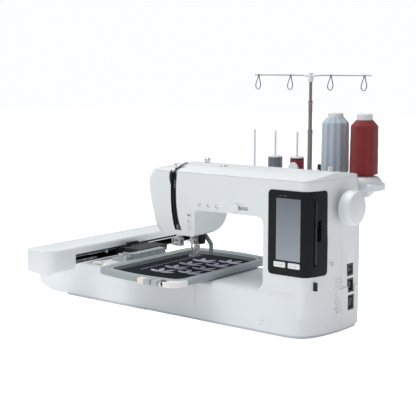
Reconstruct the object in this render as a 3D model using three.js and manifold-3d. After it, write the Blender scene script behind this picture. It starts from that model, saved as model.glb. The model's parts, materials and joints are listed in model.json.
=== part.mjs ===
// Embroidery machine with its embroidery unit, hoop and rear thread stand.
// Millimetres, +X to the machine's right, +Y to its back, +Z up.
import * as THREE from "three";
import { mergeVertices } from "three/addons/utils/BufferGeometryUtils.js";
import Module from "manifold-3d";

const wasm = await Module();
wasm.setup();

// ---- driving dimensions -----------------------------------------------------------------
const GAP = 0.35;              // clearance between pieces that touch
const WALL = 3;                // moulded housing wall
const BED = 88;                // top of the sewing bed
const FLOOR = 9;               // bottom of the housings, on top of the trays
const ARM_UNDER = 227;         // underside of the machine arm
const CREASE = 301;            // front edge of the top cover
const FRONT = -80;             // front plane of the head, arm and column
const BED_FRONT = -85;         // front plane of the bed
const BACK = 100;              // rear plane of the column and bed
const ARM_BACK = 70;           // rear plane of the arm and head
const RIGHT = 329;             // right side of the machine
const HEAD_LEFT = -88;
const HEAD_RIGHT = 46;
const COLUMN_LEFT = 213;
const SPLIT = 20;              // plane between the front and rear shells
const SEAM_TOP = 52;           // joint of the bed and the embroidery unit, at the bed top
const SEAM_FOOT = 61;          // and at the foot
const NEEDLE = { x: -28, y: 5 };
const HOOK = { x: -28, y: -14 };
const SHAFT = { y: 24, z: 245 };        // main shaft and handwheel axis
const LOWER = { y: 24, z: 42 };         // lower shaft axis
const UNIT_LEFT = -426;
const UNIT_TOP = 85.5;
const ARM = { left: -316, right: -241, front: -207, back: 290, under: 87, top: 128 };
const HOOP = { low: 90.5, high: 101 };  // heights of the hoop rims
const LIFTER = { x: -26, y: 28, z: 240 };     // pivot of the presser foot lever
const STAND = { left: 15, right: 343, front: 105, back: 165, low: 265, high: 281 };
const MAST = { x: 178, y: 135 };
const GUIDE_HEIGHT = 492;
const CENTRE = { x: 33.4, y: -41.5 };   // brings the centre of the footprint to the origin

// ---- shape tools ------------------------------------------------------------------------
function solid(geometry) {
  const bare = geometry.index ? geometry.toNonIndexed() : geometry.clone();
  bare.deleteAttribute("normal");
  bare.deleteAttribute("uv");
  const merged = mergeVertices(bare, 1e-4);
  const index = [];
  for (let i = 0; i < merged.index.count; i += 3) {
    const [a, b, c] = [0, 1, 2].map((k) => merged.index.getX(i + k));
    if (a !== b && b !== c && c !== a) index.push(a, b, c);
  }
  const make = (triVerts) => new wasm.Manifold(new wasm.Mesh({
    numProp: 3, vertProperties: merged.attributes.position.array, triVerts: new Uint32Array(triVerts),
  }));
  const first = make(index);
  return first.volume() < 0 ? make(index.reverse()) : first;
}

function geometryOf(body) {
  const mesh = body.getMesh();
  return new THREE.BufferGeometry()
    .setAttribute("position", new THREE.BufferAttribute(mesh.vertProperties, 3))
    .setIndex(new THREE.BufferAttribute(mesh.triVerts, 1));
}

const join = (...bodies) => bodies.reduce((sum, body) => sum.add(body));
const cut = (body, ...tools) => tools.reduce((rest, tool) => rest.subtract(tool), body);

function block([x0, x1], [y0, y1], [z0, z1]) {
  return solid(new THREE.BoxGeometry(x1 - x0, y1 - y0, z1 - z0)
    .translate((x0 + x1) / 2, (y0 + y1) / 2, (z0 + z1) / 2));
}

// A local frame whose third axis is the named one: (y,z) outlines for X, (x,z) for Y, (x,y) for Z.
function turned(geometry, axis) {
  if (axis === "X") return geometry.applyMatrix4(new THREE.Matrix4().set(0, 0, 1, 0, 1, 0, 0, 0, 0, 1, 0, 0, 0, 0, 0, 1));
  if (axis === "Y") return geometry.applyMatrix4(new THREE.Matrix4().set(1, 0, 0, 0, 0, 0, -1, 0, 0, 1, 0, 0, 0, 0, 0, 1));
  return geometry;
}

function prism(shape, axis, from, to, curveSegments = 8) {
  const geometry = new THREE.ExtrudeGeometry(shape, { depth: to - from, bevelEnabled: false, curveSegments });
  geometry.translate(0, 0, axis === "Y" ? -to : from);
  return solid(turned(geometry, axis));
}

// A prism with both end faces chamfered.
function slab(shape, axis, from, to, bevel, curveSegments = 4) {
  const geometry = new THREE.ExtrudeGeometry(shape, {
    depth: to - from - 2 * bevel, bevelThickness: bevel, bevelSize: bevel, bevelOffset: -bevel,
    bevelSegments: 1, curveSegments,
  });
  geometry.translate(0, 0, axis === "Y" ? -to + bevel : from + bevel);
  return solid(turned(geometry, axis));
}

function outline(points) {
  const shape = new THREE.Shape();
  points.forEach(([a, b, c, d, e, f], i) => {
    if (i === 0) shape.moveTo(a, b);
    else if (e !== undefined) shape.bezierCurveTo(a, b, c, d, e, f);
    else if (c !== undefined) shape.quadraticCurveTo(a, b, c, d);
    else shape.lineTo(a, b);
  });
  return shape;
}

function roundRect([x0, x1], [y0, y1], radius) {
  const r = radius;
  return outline([[x0 + r, y0], [x1 - r, y0], [x1, y0, x1, y0 + r], [x1, y1 - r], [x1, y1, x1 - r, y1],
    [x0 + r, y1], [x0, y1, x0, y1 - r], [x0, y0 + r], [x0, y0, x0 + r, y0]]);
}

function rod(axis, [a, b], radius, from, to, sides = 12) {
  const geometry = new THREE.CylinderGeometry(radius, radius, to - from, sides)
    .rotateX(Math.PI / 2).translate(0, 0, axis === "Y" ? -(from + to) / 2 : (from + to) / 2);
  return solid(turned(geometry, axis)).translate(...place(axis, a, b));
}

function place(axis, a, b) {
  if (axis === "X") return [0, a, b];
  return axis === "Y" ? [a, 0, b] : [a, b, 0];
}

// A turned piece: profile points are [radius, height along the axis].
function turning(axis, [a, b], profile, sides = 16) {
  const points = profile.map(([radius, height]) => new THREE.Vector2(radius, height));
  const geometry = new THREE.LatheGeometry(points, sides).rotateX(Math.PI / 2);
  return solid(turned(geometry, axis)).translate(...place(axis, a, b));
}

function wire(points, radius, steps, sides = 6) {
  const path = new THREE.CatmullRomCurve3(points.map((p) => new THREE.Vector3(...p)));
  const section = new THREE.Shape().absarc(0, 0, radius, 0, 2 * Math.PI);
  return solid(new THREE.ExtrudeGeometry(section, {
    extrudePath: path, steps, curveSegments: sides, bevelEnabled: false,
  }));
}

// ---- materials --------------------------------------------------------------------------
const finish = (color, roughness, metalness = 0) => new THREE.MeshStandardMaterial({ color, roughness, metalness });
const WHITE = finish("#ecf0f2", 0.35);
const TRAY = finish("#dfe3e6", 0.5);
const GRAPHITE = finish("#2b2e30", 0.35);
const BLACK = finish("#17191b", 0.5);
const SCREEN = finish("#6b7380", 0.15);
const STEEL = finish("#b9bcc0", 0.3, 1);
const CAST = finish("#9b9fa3", 0.6, 1);
const RUBBER = finish("#26282a", 0.9);
const GREY = finish("#9aa3a5", 0.45);
const CLOTH = finish("#2c3338", 0.95);
const CREAM = finish("#e9e2d8", 0.4);

const machine = new THREE.Group();
machine.position.set(CENTRE.x, CENTRE.y, 0);

function add(name, body, material) {
  const mesh = new THREE.Mesh(geometryOf(body), material);
  mesh.name = name;
  machine.add(mesh);
}

// ---- machine housing --------------------------------------------------------------------
// The joint between bed and unit, seen from the front: straight above SEAM_BEND, curved below it.
const SEAM_BEND = 62;
const seamUp = (shift, top) => [[SEAM_FOOT + shift, FLOOR], [SEAM_TOP + shift, 32, SEAM_TOP + shift, SEAM_BEND],
  [SEAM_TOP + shift, top]];

// Each outline takes the inset t of the surface it bounds: 0 outside, WALL for the cavity.
function bedBody(t) {
  const low = t > 0 ? 0 : FLOOR;
  const side = outline([[BED_FRONT + t, low], [BED_FRONT + t, 78], [BED_FRONT + t, BED - 1 - t, -68, BED - t],
    [84, BED - t], [BACK - t, BED - t, BACK - t, 72], [BACK - t, low]]);
  const plan = outline([[40, BED_FRONT - 5], [262, BED_FRONT - 5], [262, BED_FRONT + t],
    [318, BED_FRONT + t, 321, -42, RIGHT - t, 20], [RIGHT - t, 70], [RIGHT - t, BACK - t, 299, BACK - t],
    [40, BACK + 5]]);
  const rightOfSeam = outline([[SEAM_FOOT + t, -5], ...seamUp(t, 100), [400, 100], [400, -5]]);
  return prism(side, "X", 40, 340).intersect(prism(plan, "Z", -5, 100)).intersect(prism(rightOfSeam, "Y", -95, 110));
}

function planOfTop(t) {
  return outline([[296, FRONT + t], [317, FRONT + t, 318, -50, RIGHT - 3 - t, -16], [RIGHT - t, 15],
    [RIGHT - t, 72], [RIGHT - t, BACK - t, 301, BACK - t], [245, BACK - t], [225, BACK - t, 215, ARM_BACK - t, 195, ARM_BACK - t],
    [-62, ARM_BACK - t], [HEAD_LEFT + t, ARM_BACK - t, HEAD_LEFT + t, 44], [HEAD_LEFT + t, -50],
    [HEAD_LEFT + t, FRONT + t, -58, FRONT + t]]);
}

const crown = (t) => [[62, CREASE + 6 - t], [22, 314 - t, -30, 313 - t, FRONT + t, CREASE - t]];

function columnAndArm(t) {
  const r = 15;
  const front = new THREE.Shape();
  front.moveTo(COLUMN_LEFT - r, 30);
  front.absarc(COLUMN_LEFT - r, BED + r, r + t, -Math.PI / 2, 0, false);
  front.absarc(COLUMN_LEFT - r, ARM_UNDER - r, r + t, 0, Math.PI / 2, false);
  [[30, ARM_UNDER + t], [30, 330], [RIGHT - 8 - t, 330], [RIGHT - 7 - t, 210], [RIGHT - t, 40], [RIGHT - t, 30]]
    .forEach(([x, z]) => front.lineTo(x, z));
  const side = outline([[FRONT + t, 20], [BACK - t, 20], [BACK - t, 205], [86 - t, 272], [82 - t, 305 - t, ...crown(t)[0]],
    crown(t)[1]]);
  return prism(front, "Y", -100, 120, 4).intersect(prism(side, "X", 20, 340)).intersect(prism(planOfTop(t), "Z", 10, 340));
}

// The head's plan draws in toward its foot and its crown: [height, how far its left corner moves in].
const DRAW_IN = [[160, 40], [175, 30], [186, 20], [195, 15.5], [214, 10.5], [238, 4.5], [262, 0.5], [275, 0], [284, 2], [292, 6.5],
  [303, 16], [312, 30], [330, 60]];
function drawIn(z) {
  const k = Math.max(0, DRAW_IN.findIndex(([height]) => height >= z) - 1);
  const [[z0, d0], [z1, d1]] = [DRAW_IN[k], DRAW_IN[k + 1]];
  return d0 + (d1 - d0) * (z - z0) / (z1 - z0);
}
function headPlan(t) {
  const form = new THREE.ExtrudeGeometry(planOfTop(t), { depth: 170, steps: 24, bevelEnabled: false, curveSegments: 8 }).translate(0, 0, 160);
  const at = form.attributes.position;
  for (let i = 0; i < at.count; i += 1) {
    const weight = Math.min(1, Math.max(0, -at.getX(i) / 55));
    at.setX(i, at.getX(i) + weight * drawIn(Math.min(329, Math.max(161, at.getZ(i)))));
  }
  return solid(form);
}

function head(t) {
  const front = new THREE.Shape();
  front.moveTo(60, 250);
  front.lineTo(60, ARM_UNDER + t);
  front.absarc(HEAD_RIGHT + 8, ARM_UNDER - 8, 8 + t, Math.PI / 2, Math.PI, false);
  front.lineTo(HEAD_RIGHT - t, 180);
  front.quadraticCurveTo(HEAD_RIGHT - t, 172 + t, HEAD_RIGHT - 8, 172 + t);
  front.lineTo(-36, 172 + t);
  front.bezierCurveTo(-53, 172 + t, -79 + t, 198, HEAD_LEFT + t, 256);
  front.bezierCurveTo(-90 + t, 290, -66, 308 - t, -28, 316 - t);
  front.lineTo(60, 316 - t);
  const side = outline([[FRONT + t, 172 + t], [-30, 172 + t], [4 - t, 174 + t, 20 - t, 192 + t], [30 - t, 204 + t, 35 - t, 231 + t],
    [ARM_BACK - t, 231 + t], [ARM_BACK - t, 285], [ARM_BACK - t, 304 - t, ...crown(t)[0]], crown(t)[1]]);
  return prism(front, "Y", -100, 120).intersect(prism(side, "X", -100, 70)).intersect(headPlan(t));
}

const housing = join(bedBody(0), columnAndArm(0), head(0));
const cavity = join(bedBody(WALL), columnAndArm(WALL), head(WALL));

// ---- openings in the housing ---------------------------------------------------------------
const SLOT_FOOT = 182;

// The curved band of the thread slot, seen from the front, and all that lies to the left of its left edge.
const slotOutline = outline([[-5, SLOT_FOOT], [-21, 222, -14, 300], [-13, 330], [4, 330], [1, 300], [-8, 222, 12.5, SLOT_FOOT]]);
const leftOfSlot = prism(outline([[-130, 160], [-130, 330], [-11, 330], [-12, 300], [-19, 222, -3, SLOT_FOOT], [5, 160]]), "Y", -100, 110);

const STAND_ARMS = [40, 303.5];          // x of the two brackets of the thread stand
const BRACKET = { half: 6.5, front: 46, low: 277, high: 303 };
const bracketPocket = (x, gap) => block([x - BRACKET.half - gap, x + BRACKET.half + gap],
  [BRACKET.front - gap, 130], [BRACKET.low - gap - 4, 330]);

const SQUARE_BUTTONS = { x: 32, size: [12, 9], heights: [215, 202.5, 190] };
const ROUND_BUTTONS = { z: 238, radius: 5, places: [58, 80, 101] };
const SLIDER = { x: 161, z: 240, length: 34, height: 7 };
const SOCKETS = { y: [42, 66], heights: [[41, 71], [76, 103], [108, 132]] };
const PANEL = { left: 226, low: 122, high: 282, back: -28, depth: 7, proud: 1.6 };
const BUTTON_DEPTH = 5;
const BUTTON_GAP = 0.15;
const THREADER = { x: -58, y: -8 };      // rod of the needle threader

const squareFace = (z, gap) => roundRect(
  [SQUARE_BUTTONS.x - SQUARE_BUTTONS.size[0] / 2 - gap, SQUARE_BUTTONS.x + SQUARE_BUTTONS.size[0] / 2 + gap],
  [z - SQUARE_BUTTONS.size[1] / 2 - gap, z + SQUARE_BUTTONS.size[1] / 2 + gap], 2);
const sliderFace = (length, height) => roundRect([SLIDER.x - length / 2, SLIDER.x + length / 2],
  [SLIDER.z - height / 2, SLIDER.z + height / 2], 2.2);

// The band around the column's front-right corner, from proud outside its surface to depth inside it.
function panelForm(gap, proud, depth) {
  const view = roundRect([PANEL.left - gap, 400], [PANEL.low - gap, PANEL.high + gap], 9);
  const flank = roundRect([-200, PANEL.back + gap], [PANEL.low - gap, PANEL.high + gap], 9);
  const outer = prism(planOfTop(-proud), "Z", 60, 300, 6);
  const inner = prism(planOfTop(depth), "Z", 50, 310, 6);
  const right = prism(outline([[200, 20], [RIGHT + proud, 40], [RIGHT - 7 + proud, 210], [RIGHT - 8 + proud, 320],
    [200, 320]]), "Y", -120, 60);
  return outer.subtract(inner).intersect(prism(view, "Y", -120, 60)).intersect(prism(flank, "X", 200, 360))
    .intersect(right);
}

const cutters = [
  prism(slotOutline, "Y", -100, FRONT + 6),
  ...STAND_ARMS.map((x) => bracketPocket(x, GAP)),
  ...SQUARE_BUTTONS.heights.map((z) => prism(squareFace(z, BUTTON_GAP), "Y", -100, -70, 2)),
  ...ROUND_BUTTONS.places.map((x) => rod("Y", [x, ROUND_BUTTONS.z], ROUND_BUTTONS.radius + 1.6 * BUTTON_GAP, -100, -70, 16)),
  prism(sliderFace(SLIDER.length, SLIDER.height), "Y", -100, -70),
  ...SOCKETS.heights.map((z) => block([318, 340], SOCKETS.y, z)),
  panelForm(GAP, 5, PANEL.depth + GAP),
  rod("X", [SHAFT.y, SHAFT.z], 11, 310, 340),
  rod("Z", [NEEDLE.x, NEEDLE.y], 7, 150, 230),
  rod("Z", [NEEDLE.x, NEEDLE.y + 15], 6, 150, 240),
  rod("Z", [273, 20], 5.5, 290, 330),
  block([SEAM_TOP - 5, 72], [-36, 54], [18, BED - 4]),
  block([-58, -14], [LIFTER.y - 4, LIFTER.y + 8], [188, 234.5]),
  rod("Z", [THREADER.x, THREADER.y], 4.5, 150, 240),
  block([-12.5, -5.7], [-76, -40], [270, 330]),
];
const shell = cut(housing.subtract(cavity), ...cutters);
const everywhere = [-200, 400];
const aboveCrease = block(everywhere, everywhere, [CREASE - 0.6, 400]);
const belowCrease = block(everywhere, everywhere, [-10, CREASE - 0.6 - GAP]);
const headOnly = leftOfSlot.intersect(block(everywhere, everywhere, [165, 400]));
const headOnlyWide = join(headOnly, headOnly.translate(GAP, 0, 0));

function largest(body) {
  return body.decompose().reduce((best, piece) => (piece.volume() > best.volume() ? piece : best));
}

add("front_shell", largest(shell.intersect(belowCrease).intersect(block(everywhere, [-200, SPLIT - GAP], [-10, 400]))
  .subtract(headOnlyWide)), WHITE);
add("rear_shell", largest(shell.intersect(belowCrease).intersect(block(everywhere, [SPLIT, 300], [-10, 400]))
  .subtract(headOnlyWide)), WHITE);
add("face_cover", largest(shell.intersect(belowCrease).intersect(headOnly)), WHITE);
add("top_cover", largest(shell.intersect(aboveCrease)), WHITE);

function machineTray() {
  const plan = (t) => outline([[-86, -78 + t], [262, -80 + t], [312, -80 + t, 316, -42, 325 - t, 20], [325 - t, 68],
    [325 - t, 96 - t, 297, 96 - t], [64, 96 - t], [64, 56 - t], [-86, 56 - t]]);
  const pan = prism(plan(0), "Z", 2.6, FLOOR - GAP);
  return pan.subtract(prism(plan(4), "Z", 5.5, 20).subtract(block([-200, -82], everywhere, [0, 20])));
}
add("base_tray", machineTray(), TRAY);

const MACHINE_FEET = { front_left: [-60, -55], front_right: [285, -52], rear_left: [-60, 35], rear_right: [290, 70] };
for (const [name, at] of Object.entries(MACHINE_FEET)) {
  add(`foot_${name}`, turning("Z", at, [[0, 0], [9, 0], [10, 0.6], [10, 2.3], [0, 2.3]], 16), RUBBER);
}

// ---- free arm, needle plate and hook ----------------------------------------------------------
function freeArm() {
  const outer = slab(outline([[-92, 14], [SEAM_TOP - 3, 14], [SEAM_TOP - 0.6, 40], [SEAM_TOP - 0.6, BED], [-92, BED]]), "Y", -40, 58, 3);
  const inner = block([-89, 80], [-37, 55], [17, BED - 3]);
  return cut(outer, inner, block([-66, 14], [-36, 46], [80, 95]));
}
add("free_arm_cover", freeArm(), WHITE);
add("needle_plate", cut(slab(roundRect([-66 + GAP, 14 - GAP], [-36 + GAP, 46 - GAP], 3), "Z", BED - 2.6, BED - 0.2, 0.5),
  prism(roundRect([NEEDLE.x - 4, NEEDLE.x + 4], [NEEDLE.y - 1.5, NEEDLE.y + 1.5], 1), "Z", 70, 95)), STEEL);
add("rotary_hook", cut(turning("Z", [HOOK.x, HOOK.y], [[0, 26], [4, 26], [4, 32], [17, 32], [17, 38], [4, 38], [4, 52],
  [16, 53], [18, 58], [18, 80], [15.5, 80], [15.5, 60], [0, 60]])), BLACK);

// ---- drive --------------------------------------------------------------------------------
function chassis() {
  const plate = cut(block([226, 234], [-40, 60], [20, 288]), rod("X", [SHAFT.y, SHAFT.z], 9, 200, 300),
    rod("X", [LOWER.y, LOWER.z], 7, 200, 300));
  const lug = cut(block([64, 72], [10, 52], [228 + 4, 262]), rod("X", [SHAFT.y, SHAFT.z], 9, 0, 100));
  const threader = join(block([THREADER.x - 5, THREADER.x + 5], [THREADER.y - 5, 56], [262, 270]),
    rod("Z", [THREADER.x, THREADER.y], 3, 146, 264), block([THREADER.x - 11, THREADER.x + 12], [THREADER.y - 7, THREADER.y + 6], [134, 151]));
  return join(plate, block([64, 234], [46, 56], [236, 286]), lug, block([74, 305], [-40, 60], [12, 22]),
    block([296, 305], [-30, 36], [20, 80]), block([THREADER.x - 5, 70], [46, 56], [260, 272]), threader);
}
add("chassis", chassis(), CAST);
const pulley = (x, { y, z }) => turning("X", [y, z], [[0, x], [15, x], [15, x + 1], [13, x + 1], [13, x + 11], [15, x + 11],
  [15, x + 12], [0, x + 12]], 20);
add("main_shaft", join(rod("X", [SHAFT.y, SHAFT.z], 5, -18, 345), pulley(242, SHAFT),
  rod("X", [SHAFT.y, SHAFT.z], 10, -18, -8)), STEEL);
add("lower_shaft", join(rod("X", [LOWER.y, LOWER.z], 5, -34, 262), pulley(242, LOWER),
  rod("X", [LOWER.y, LOWER.z], 17, -34, -24)), STEEL);

function driveBelt() {
  const loop = (radius) => {
    const shape = new THREE.Shape();
    shape.absarc(SHAFT.y, SHAFT.z, radius, 0, Math.PI, false);
    shape.absarc(LOWER.y, LOWER.z, radius, Math.PI, 2 * Math.PI, false);
    return shape;
  };
  const left = 244;
  return prism(loop(15.2), "X", left, left + 8, 8).subtract(prism(loop(13.4), "X", left - 1, left + 9, 8));
}
add("drive_belt", driveBelt(), RUBBER);
add("drive_motor", join(rod("X", [-28, 70], 24, 238, 292, 20), block([250, 280], [-40, -16], [22.4, 50])), CAST);

// ---- control panel, buttons and slider ----------------------------------------------------------
const SCREEN_WINDOW = { x: [243, 298], z: [150, 268] };
const PANEL_BUTTONS = [[239, 266], [271, 298]];
const PANEL_BUTTON_Z = [136.5, 147.5];
const STYLUS = { y: -59, z: [141, 267] };
const panelFace = FRONT - PANEL.proud;

function bezel() {
  const body = panelForm(0, PANEL.proud, PANEL.depth);
  return cut(body,
    prism(roundRect(SCREEN_WINDOW.x, SCREEN_WINDOW.z, 2), "Y", -100, panelFace + 2.4),
    ...PANEL_BUTTONS.map(([a, b]) => prism(roundRect([a, b], PANEL_BUTTON_Z, 2.5), "Y", -100, -60)),
    block([314, 340], [STYLUS.y - 3.2, STYLUS.y + 3.2], STYLUS.z),
    block([314.5, 340], [STYLUS.y, STYLUS.y + 14], [188, 227]));
}
add("panel_bezel", largest(bezel()), GRAPHITE);
const inward = ([a, b], gap) => [a + gap, b - gap];
add("touch_screen", prism(roundRect(inward(SCREEN_WINDOW.x, GAP), inward(SCREEN_WINDOW.z, GAP), 1.8), "Y",
  panelFace + 0.6, panelFace + 2.4 - GAP), SCREEN);
PANEL_BUTTONS.forEach((span, i) => {
  add(`panel_button_${["left", "right"][i]}`, slab(roundRect(inward(span, GAP), inward(PANEL_BUTTON_Z, GAP), 2.3), "Y",
    panelFace - 0.8, panelFace + 6, 0.5), WHITE);
});
["upper", "middle", "lower"].forEach((name, i) => {
  add(`needle_button_${name}`, slab(squareFace(SQUARE_BUTTONS.heights[i], 0), "Y", FRONT - 1.4, FRONT + BUTTON_DEPTH, 0.5), WHITE);
});
["left", "middle", "right"].forEach((name, i) => {
  add(`arm_button_${name}`, turning("Y", [ROUND_BUTTONS.places[i], ROUND_BUTTONS.z],
    [[0, -FRONT - BUTTON_DEPTH], [5, -FRONT - BUTTON_DEPTH], [5, -FRONT + 1], [4.2, -FRONT + 1.6], [0, -FRONT + 1.6]], 16), WHITE);
});
const KNOB = SLIDER.x - 12;
add("speed_slider", join(turning("Y", [KNOB, SLIDER.z], [[0, -FRONT + 0.4], [7.5, -FRONT + 0.4], [7.5, -FRONT + 2.6], [6.4, -FRONT + 3.6], [0, -FRONT + 3.6]], 24),
  block([KNOB - 3, KNOB + 3], [FRONT - 1, FRONT + 4], [SLIDER.z - 3, SLIDER.z + 3]),
  block([KNOB - 5, KNOB + 5], [FRONT + 3.5, FRONT + 5], [SLIDER.z - 6, SLIDER.z + 6])), WHITE);
add("stylus", turning("Z", [316.2, STYLUS.y], [[0, STYLUS.z[0] + 0.5], [1.1, STYLUS.z[0] + 4], [2.3, STYLUS.z[0] + 12],
  [2.3, STYLUS.z[1] - 2], [1.6, STYLUS.z[1] - 0.6], [0, STYLUS.z[1] - 0.5]], 10).translate(1.6, 0, 0), BLACK);

// ---- right side ------------------------------------------------------------------------------
function handwheel() {
  return turning("X", [SHAFT.y, SHAFT.z], [[5.4, 332], [24, 332], [31, 333], [33.2, 337], [33.6, 345], [33.2, 353], [31, 357],
    [27, 358.6], [0, 359.2], [0, 346], [5.4, 346], [5.4, 332]], 28);
}
add("handwheel", handwheel(), WHITE);
const SWITCH = { y: [47, 61], z: [47, 65] };
// One plate behind the wall with a face through each of its three openings.
function socketPanel() {
  const faces = SOCKETS.heights.map(([low, high], i) => block([318, 327.6 - 1.2 * i], inward(SOCKETS.y, GAP), inward([low, high], GAP)));
  return cut(join(block([316, 321], [40, 68], [39, 134]), ...faces),
    block([320.3, 340], [SWITCH.y[0] - 1, SWITCH.y[1] + 1], inward(SWITCH.z, -2)),
    block([322, 340], [46, 62], [80, 99]), block([321, 340], [48, 60], [113, 126]));
}
add("socket_panel", socketPanel(), BLACK);
add("power_switch", prism(outline([[322, SWITCH.z[0]], [326.8, SWITCH.z[0]], [325.6, 56, 328.4, SWITCH.z[1]], [322, SWITCH.z[1]]]),
  "Y", ...SWITCH.y, 3), BLACK);

// ---- needle, presser foot and take-up -------------------------------------------------------------
add("needle_bar", join(rod("Z", [NEEDLE.x, NEEDLE.y], 3.2, 138, 280), rod("Z", [NEEDLE.x, NEEDLE.y], 5, 142, 154),
  rod("X", [NEEDLE.y, 148], 2.6, NEEDLE.x, NEEDLE.x + 12, 10)), STEEL);
add("needle", turning("Z", [NEEDLE.x, NEEDLE.y], [[0, 115], [0.5, 118], [0.7, 128], [1.1, 130], [1.1, 137.6], [0, 137.6]], 8), STEEL);
const FOOT_SOLE = 111.5;
function presserFoot() {
  const y = NEEDLE.y + 15;
  const toe = rod("Z", [NEEDLE.x, NEEDLE.y], 9, FOOT_SOLE, FOOT_SOLE + 2.4, 24);
  const opening = rod("Z", [NEEDLE.x, NEEDLE.y], 4.5, 90, 130);
  return cut(join(toe, block([NEEDLE.x - 5, NEEDLE.x + 5], [y - 8, y + 4], [FOOT_SOLE, FOOT_SOLE + 2.4]),
    block([NEEDLE.x - 5, NEEDLE.x + 5], [y - 3, y + 4], [FOOT_SOLE, 150])), opening);
}
add("presser_foot", presserFoot(), STEEL);
add("presser_bar", join(rod("Z", [NEEDLE.x, NEEDLE.y + 15], 3.2, 150.4, 282), block([NEEDLE.x - 6, NEEDLE.x + 6],
  [NEEDLE.y + 10, NEEDLE.y + 20.5], [246, 254])), STEEL);
add("presser_lifter", join(rod("Y", [LIFTER.x, LIFTER.z], 4.5, LIFTER.y - 2, LIFTER.y + 6, 14),
  slab(outline([[-30, 240], [-31, 190], [-31, 172, -22, 160], [-5, 140], [-1, 136, -1, 131], [-1, 120], [-1, 114, 4, 114], [8, 114, 8, 120],
    [8, 136], [8, 141, 4, 145], [-14, 165], [-22, 175, -22, 192], [-22, 240]]), "Y", LIFTER.y - 2, LIFTER.y + 2.5, 0.8)), GREY);
add("take_up_lever", join(rod("X", [-44, 262], 5, -10.5, -7, 12),
  slab(outline([[-48, 262], [-42, 262], [-67, 303, -70, 317], [-76, 317], [-72, 296]]), "X", -10.2, -8, 0.4)), STEEL);

// ---- top of the machine ------------------------------------------------------------------------
add("bobbin_winder_spindle", turning("Z", [273, 20], [[0, 292], [5, 292], [5, 311.5], [4, 312.5], [3, 314], [3, 323], [2, 324], [0, 324]], 16), STEEL);

// ---- thread stand ---------------------------------------------------------------------------
const PINS = [38, 92, 147];
const CONES = { grey: 238.5, red: 305 };
function threadStand() {
  const { left, right, front, back, low, high } = STAND;
  const tray = slab(roundRect([left, right], [front, back], 14), "Z", low, high, 3);
  const brackets = STAND_ARMS.map((x) => join(
    prism(roundRect([BRACKET.front, 102], [BRACKET.low, BRACKET.high], 7), "X", x - BRACKET.half, x + BRACKET.half, 3),
    block([x - BRACKET.half, x + BRACKET.half], [92, 112], [low + 2, BRACKET.low + 8]),
    rod("X", [58, 291], 6, x + BRACKET.half - 1, x + BRACKET.half + 2, 12)));
  const gusset = prism(outline([[108, low + 2], [150, low + 2], [112, low - 10], [108, low - 10]]), "X", 205, 330);
  const pins = PINS.map((x) => turning("Z", [x, MAST.y], [[0, high - 2], [8, high - 2], [8, high + 2], [2.4, high + 4], [2.4, 376], [0, 378]], 12));
  const cushions = Object.values(CONES).map((x) => turning("Z", [x, MAST.y],
    [[0, high - 2], [37, high - 2], [36, high + 4], [29, high + 12], [8, high + 15], [3, high + 16], [3, 408], [0, 410]], 16));
  return join(tray, ...brackets, gusset, ...pins, ...cushions);
}
const mastSocket = rod("Z", [MAST.x, MAST.y], 5.3, STAND.low + 4, 300);
add("thread_stand", threadStand().add(rod("Z", [MAST.x, MAST.y], 10, STAND.high - 2, STAND.high + 12)).subtract(mastSocket), WHITE);

function spool(x, low, high, radius, wound) {
  return turning("Z", [x, MAST.y], [[3, low], [radius, low], [radius, low + 3], [wound, low + 4], [wound, high - 4],
    [radius, high - 3], [radius, high], [9, high], [8, high + 4], [3, high + 5], [3, low]], 20);
}
add("spool_grey", spool(PINS[1], 286.5, 323, 16, 15.4), finish("#6e7580", 0.6));
add("spool_crimson", spool(PINS[2], 286.5, 324, 16, 14.6), finish("#8e1b33", 0.6));
function cone(x, neck) {
  return turning("Z", [x, MAST.y], [[9, 297.5], [26, 297.5], [28.4, 301], [27.2, neck - 12], [16.5, neck], [16, neck + 0.5],
    [16, 416], [14.5, 417], [9, 417], [9, 297.5]], 20);
}
add("cone_grey", cone(CONES.grey, 409), finish("#b5c3cd", 0.5));
add("cone_red", cone(CONES.red, 405), finish("#8c2226", 0.5));

add("mast_lower", cut(rod("Z", [MAST.x, MAST.y], 5, STAND.low + 5, 380), rod("Z", [MAST.x, MAST.y], 4.3, 280, 390)), STEEL);
add("mast_middle", cut(rod("Z", [MAST.x, MAST.y], 4, 345, 440), rod("Z", [MAST.x, MAST.y], 3.4, 350, 450)), STEEL);
add("mast_upper", rod("Z", [MAST.x, MAST.y], 3.1, 405, 479.5), STEEL);
const GUIDES = [-131, -50, 47, 124];
function guideBar() {
  const z = GUIDE_HEIGHT;
  const hub = turning("Z", [MAST.x, MAST.y], [[0, 480], [5, 480], [5.5, 484], [5.5, 495], [4, 497], [0, 497]], 16);
  const bar = rod("X", [MAST.y, z], 1.3, MAST.x - 141, MAST.x + 141, 8);
  const loops = GUIDES.map((offset) => {
    const x = MAST.x + offset;
    const turns = [[0, 0], [-4.2, -13], [-6.5, -22], [0, -30], [6.5, -22], [4.2, -13], [0.8, -1]];
    return wire(turns.map(([a, b]) => [x + a, MAST.y, z + b]), 1, 10, 2);
  });
  return join(hub, bar, ...loops);
}
add("thread_guide_bar", guideBar(), STEEL);

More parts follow.
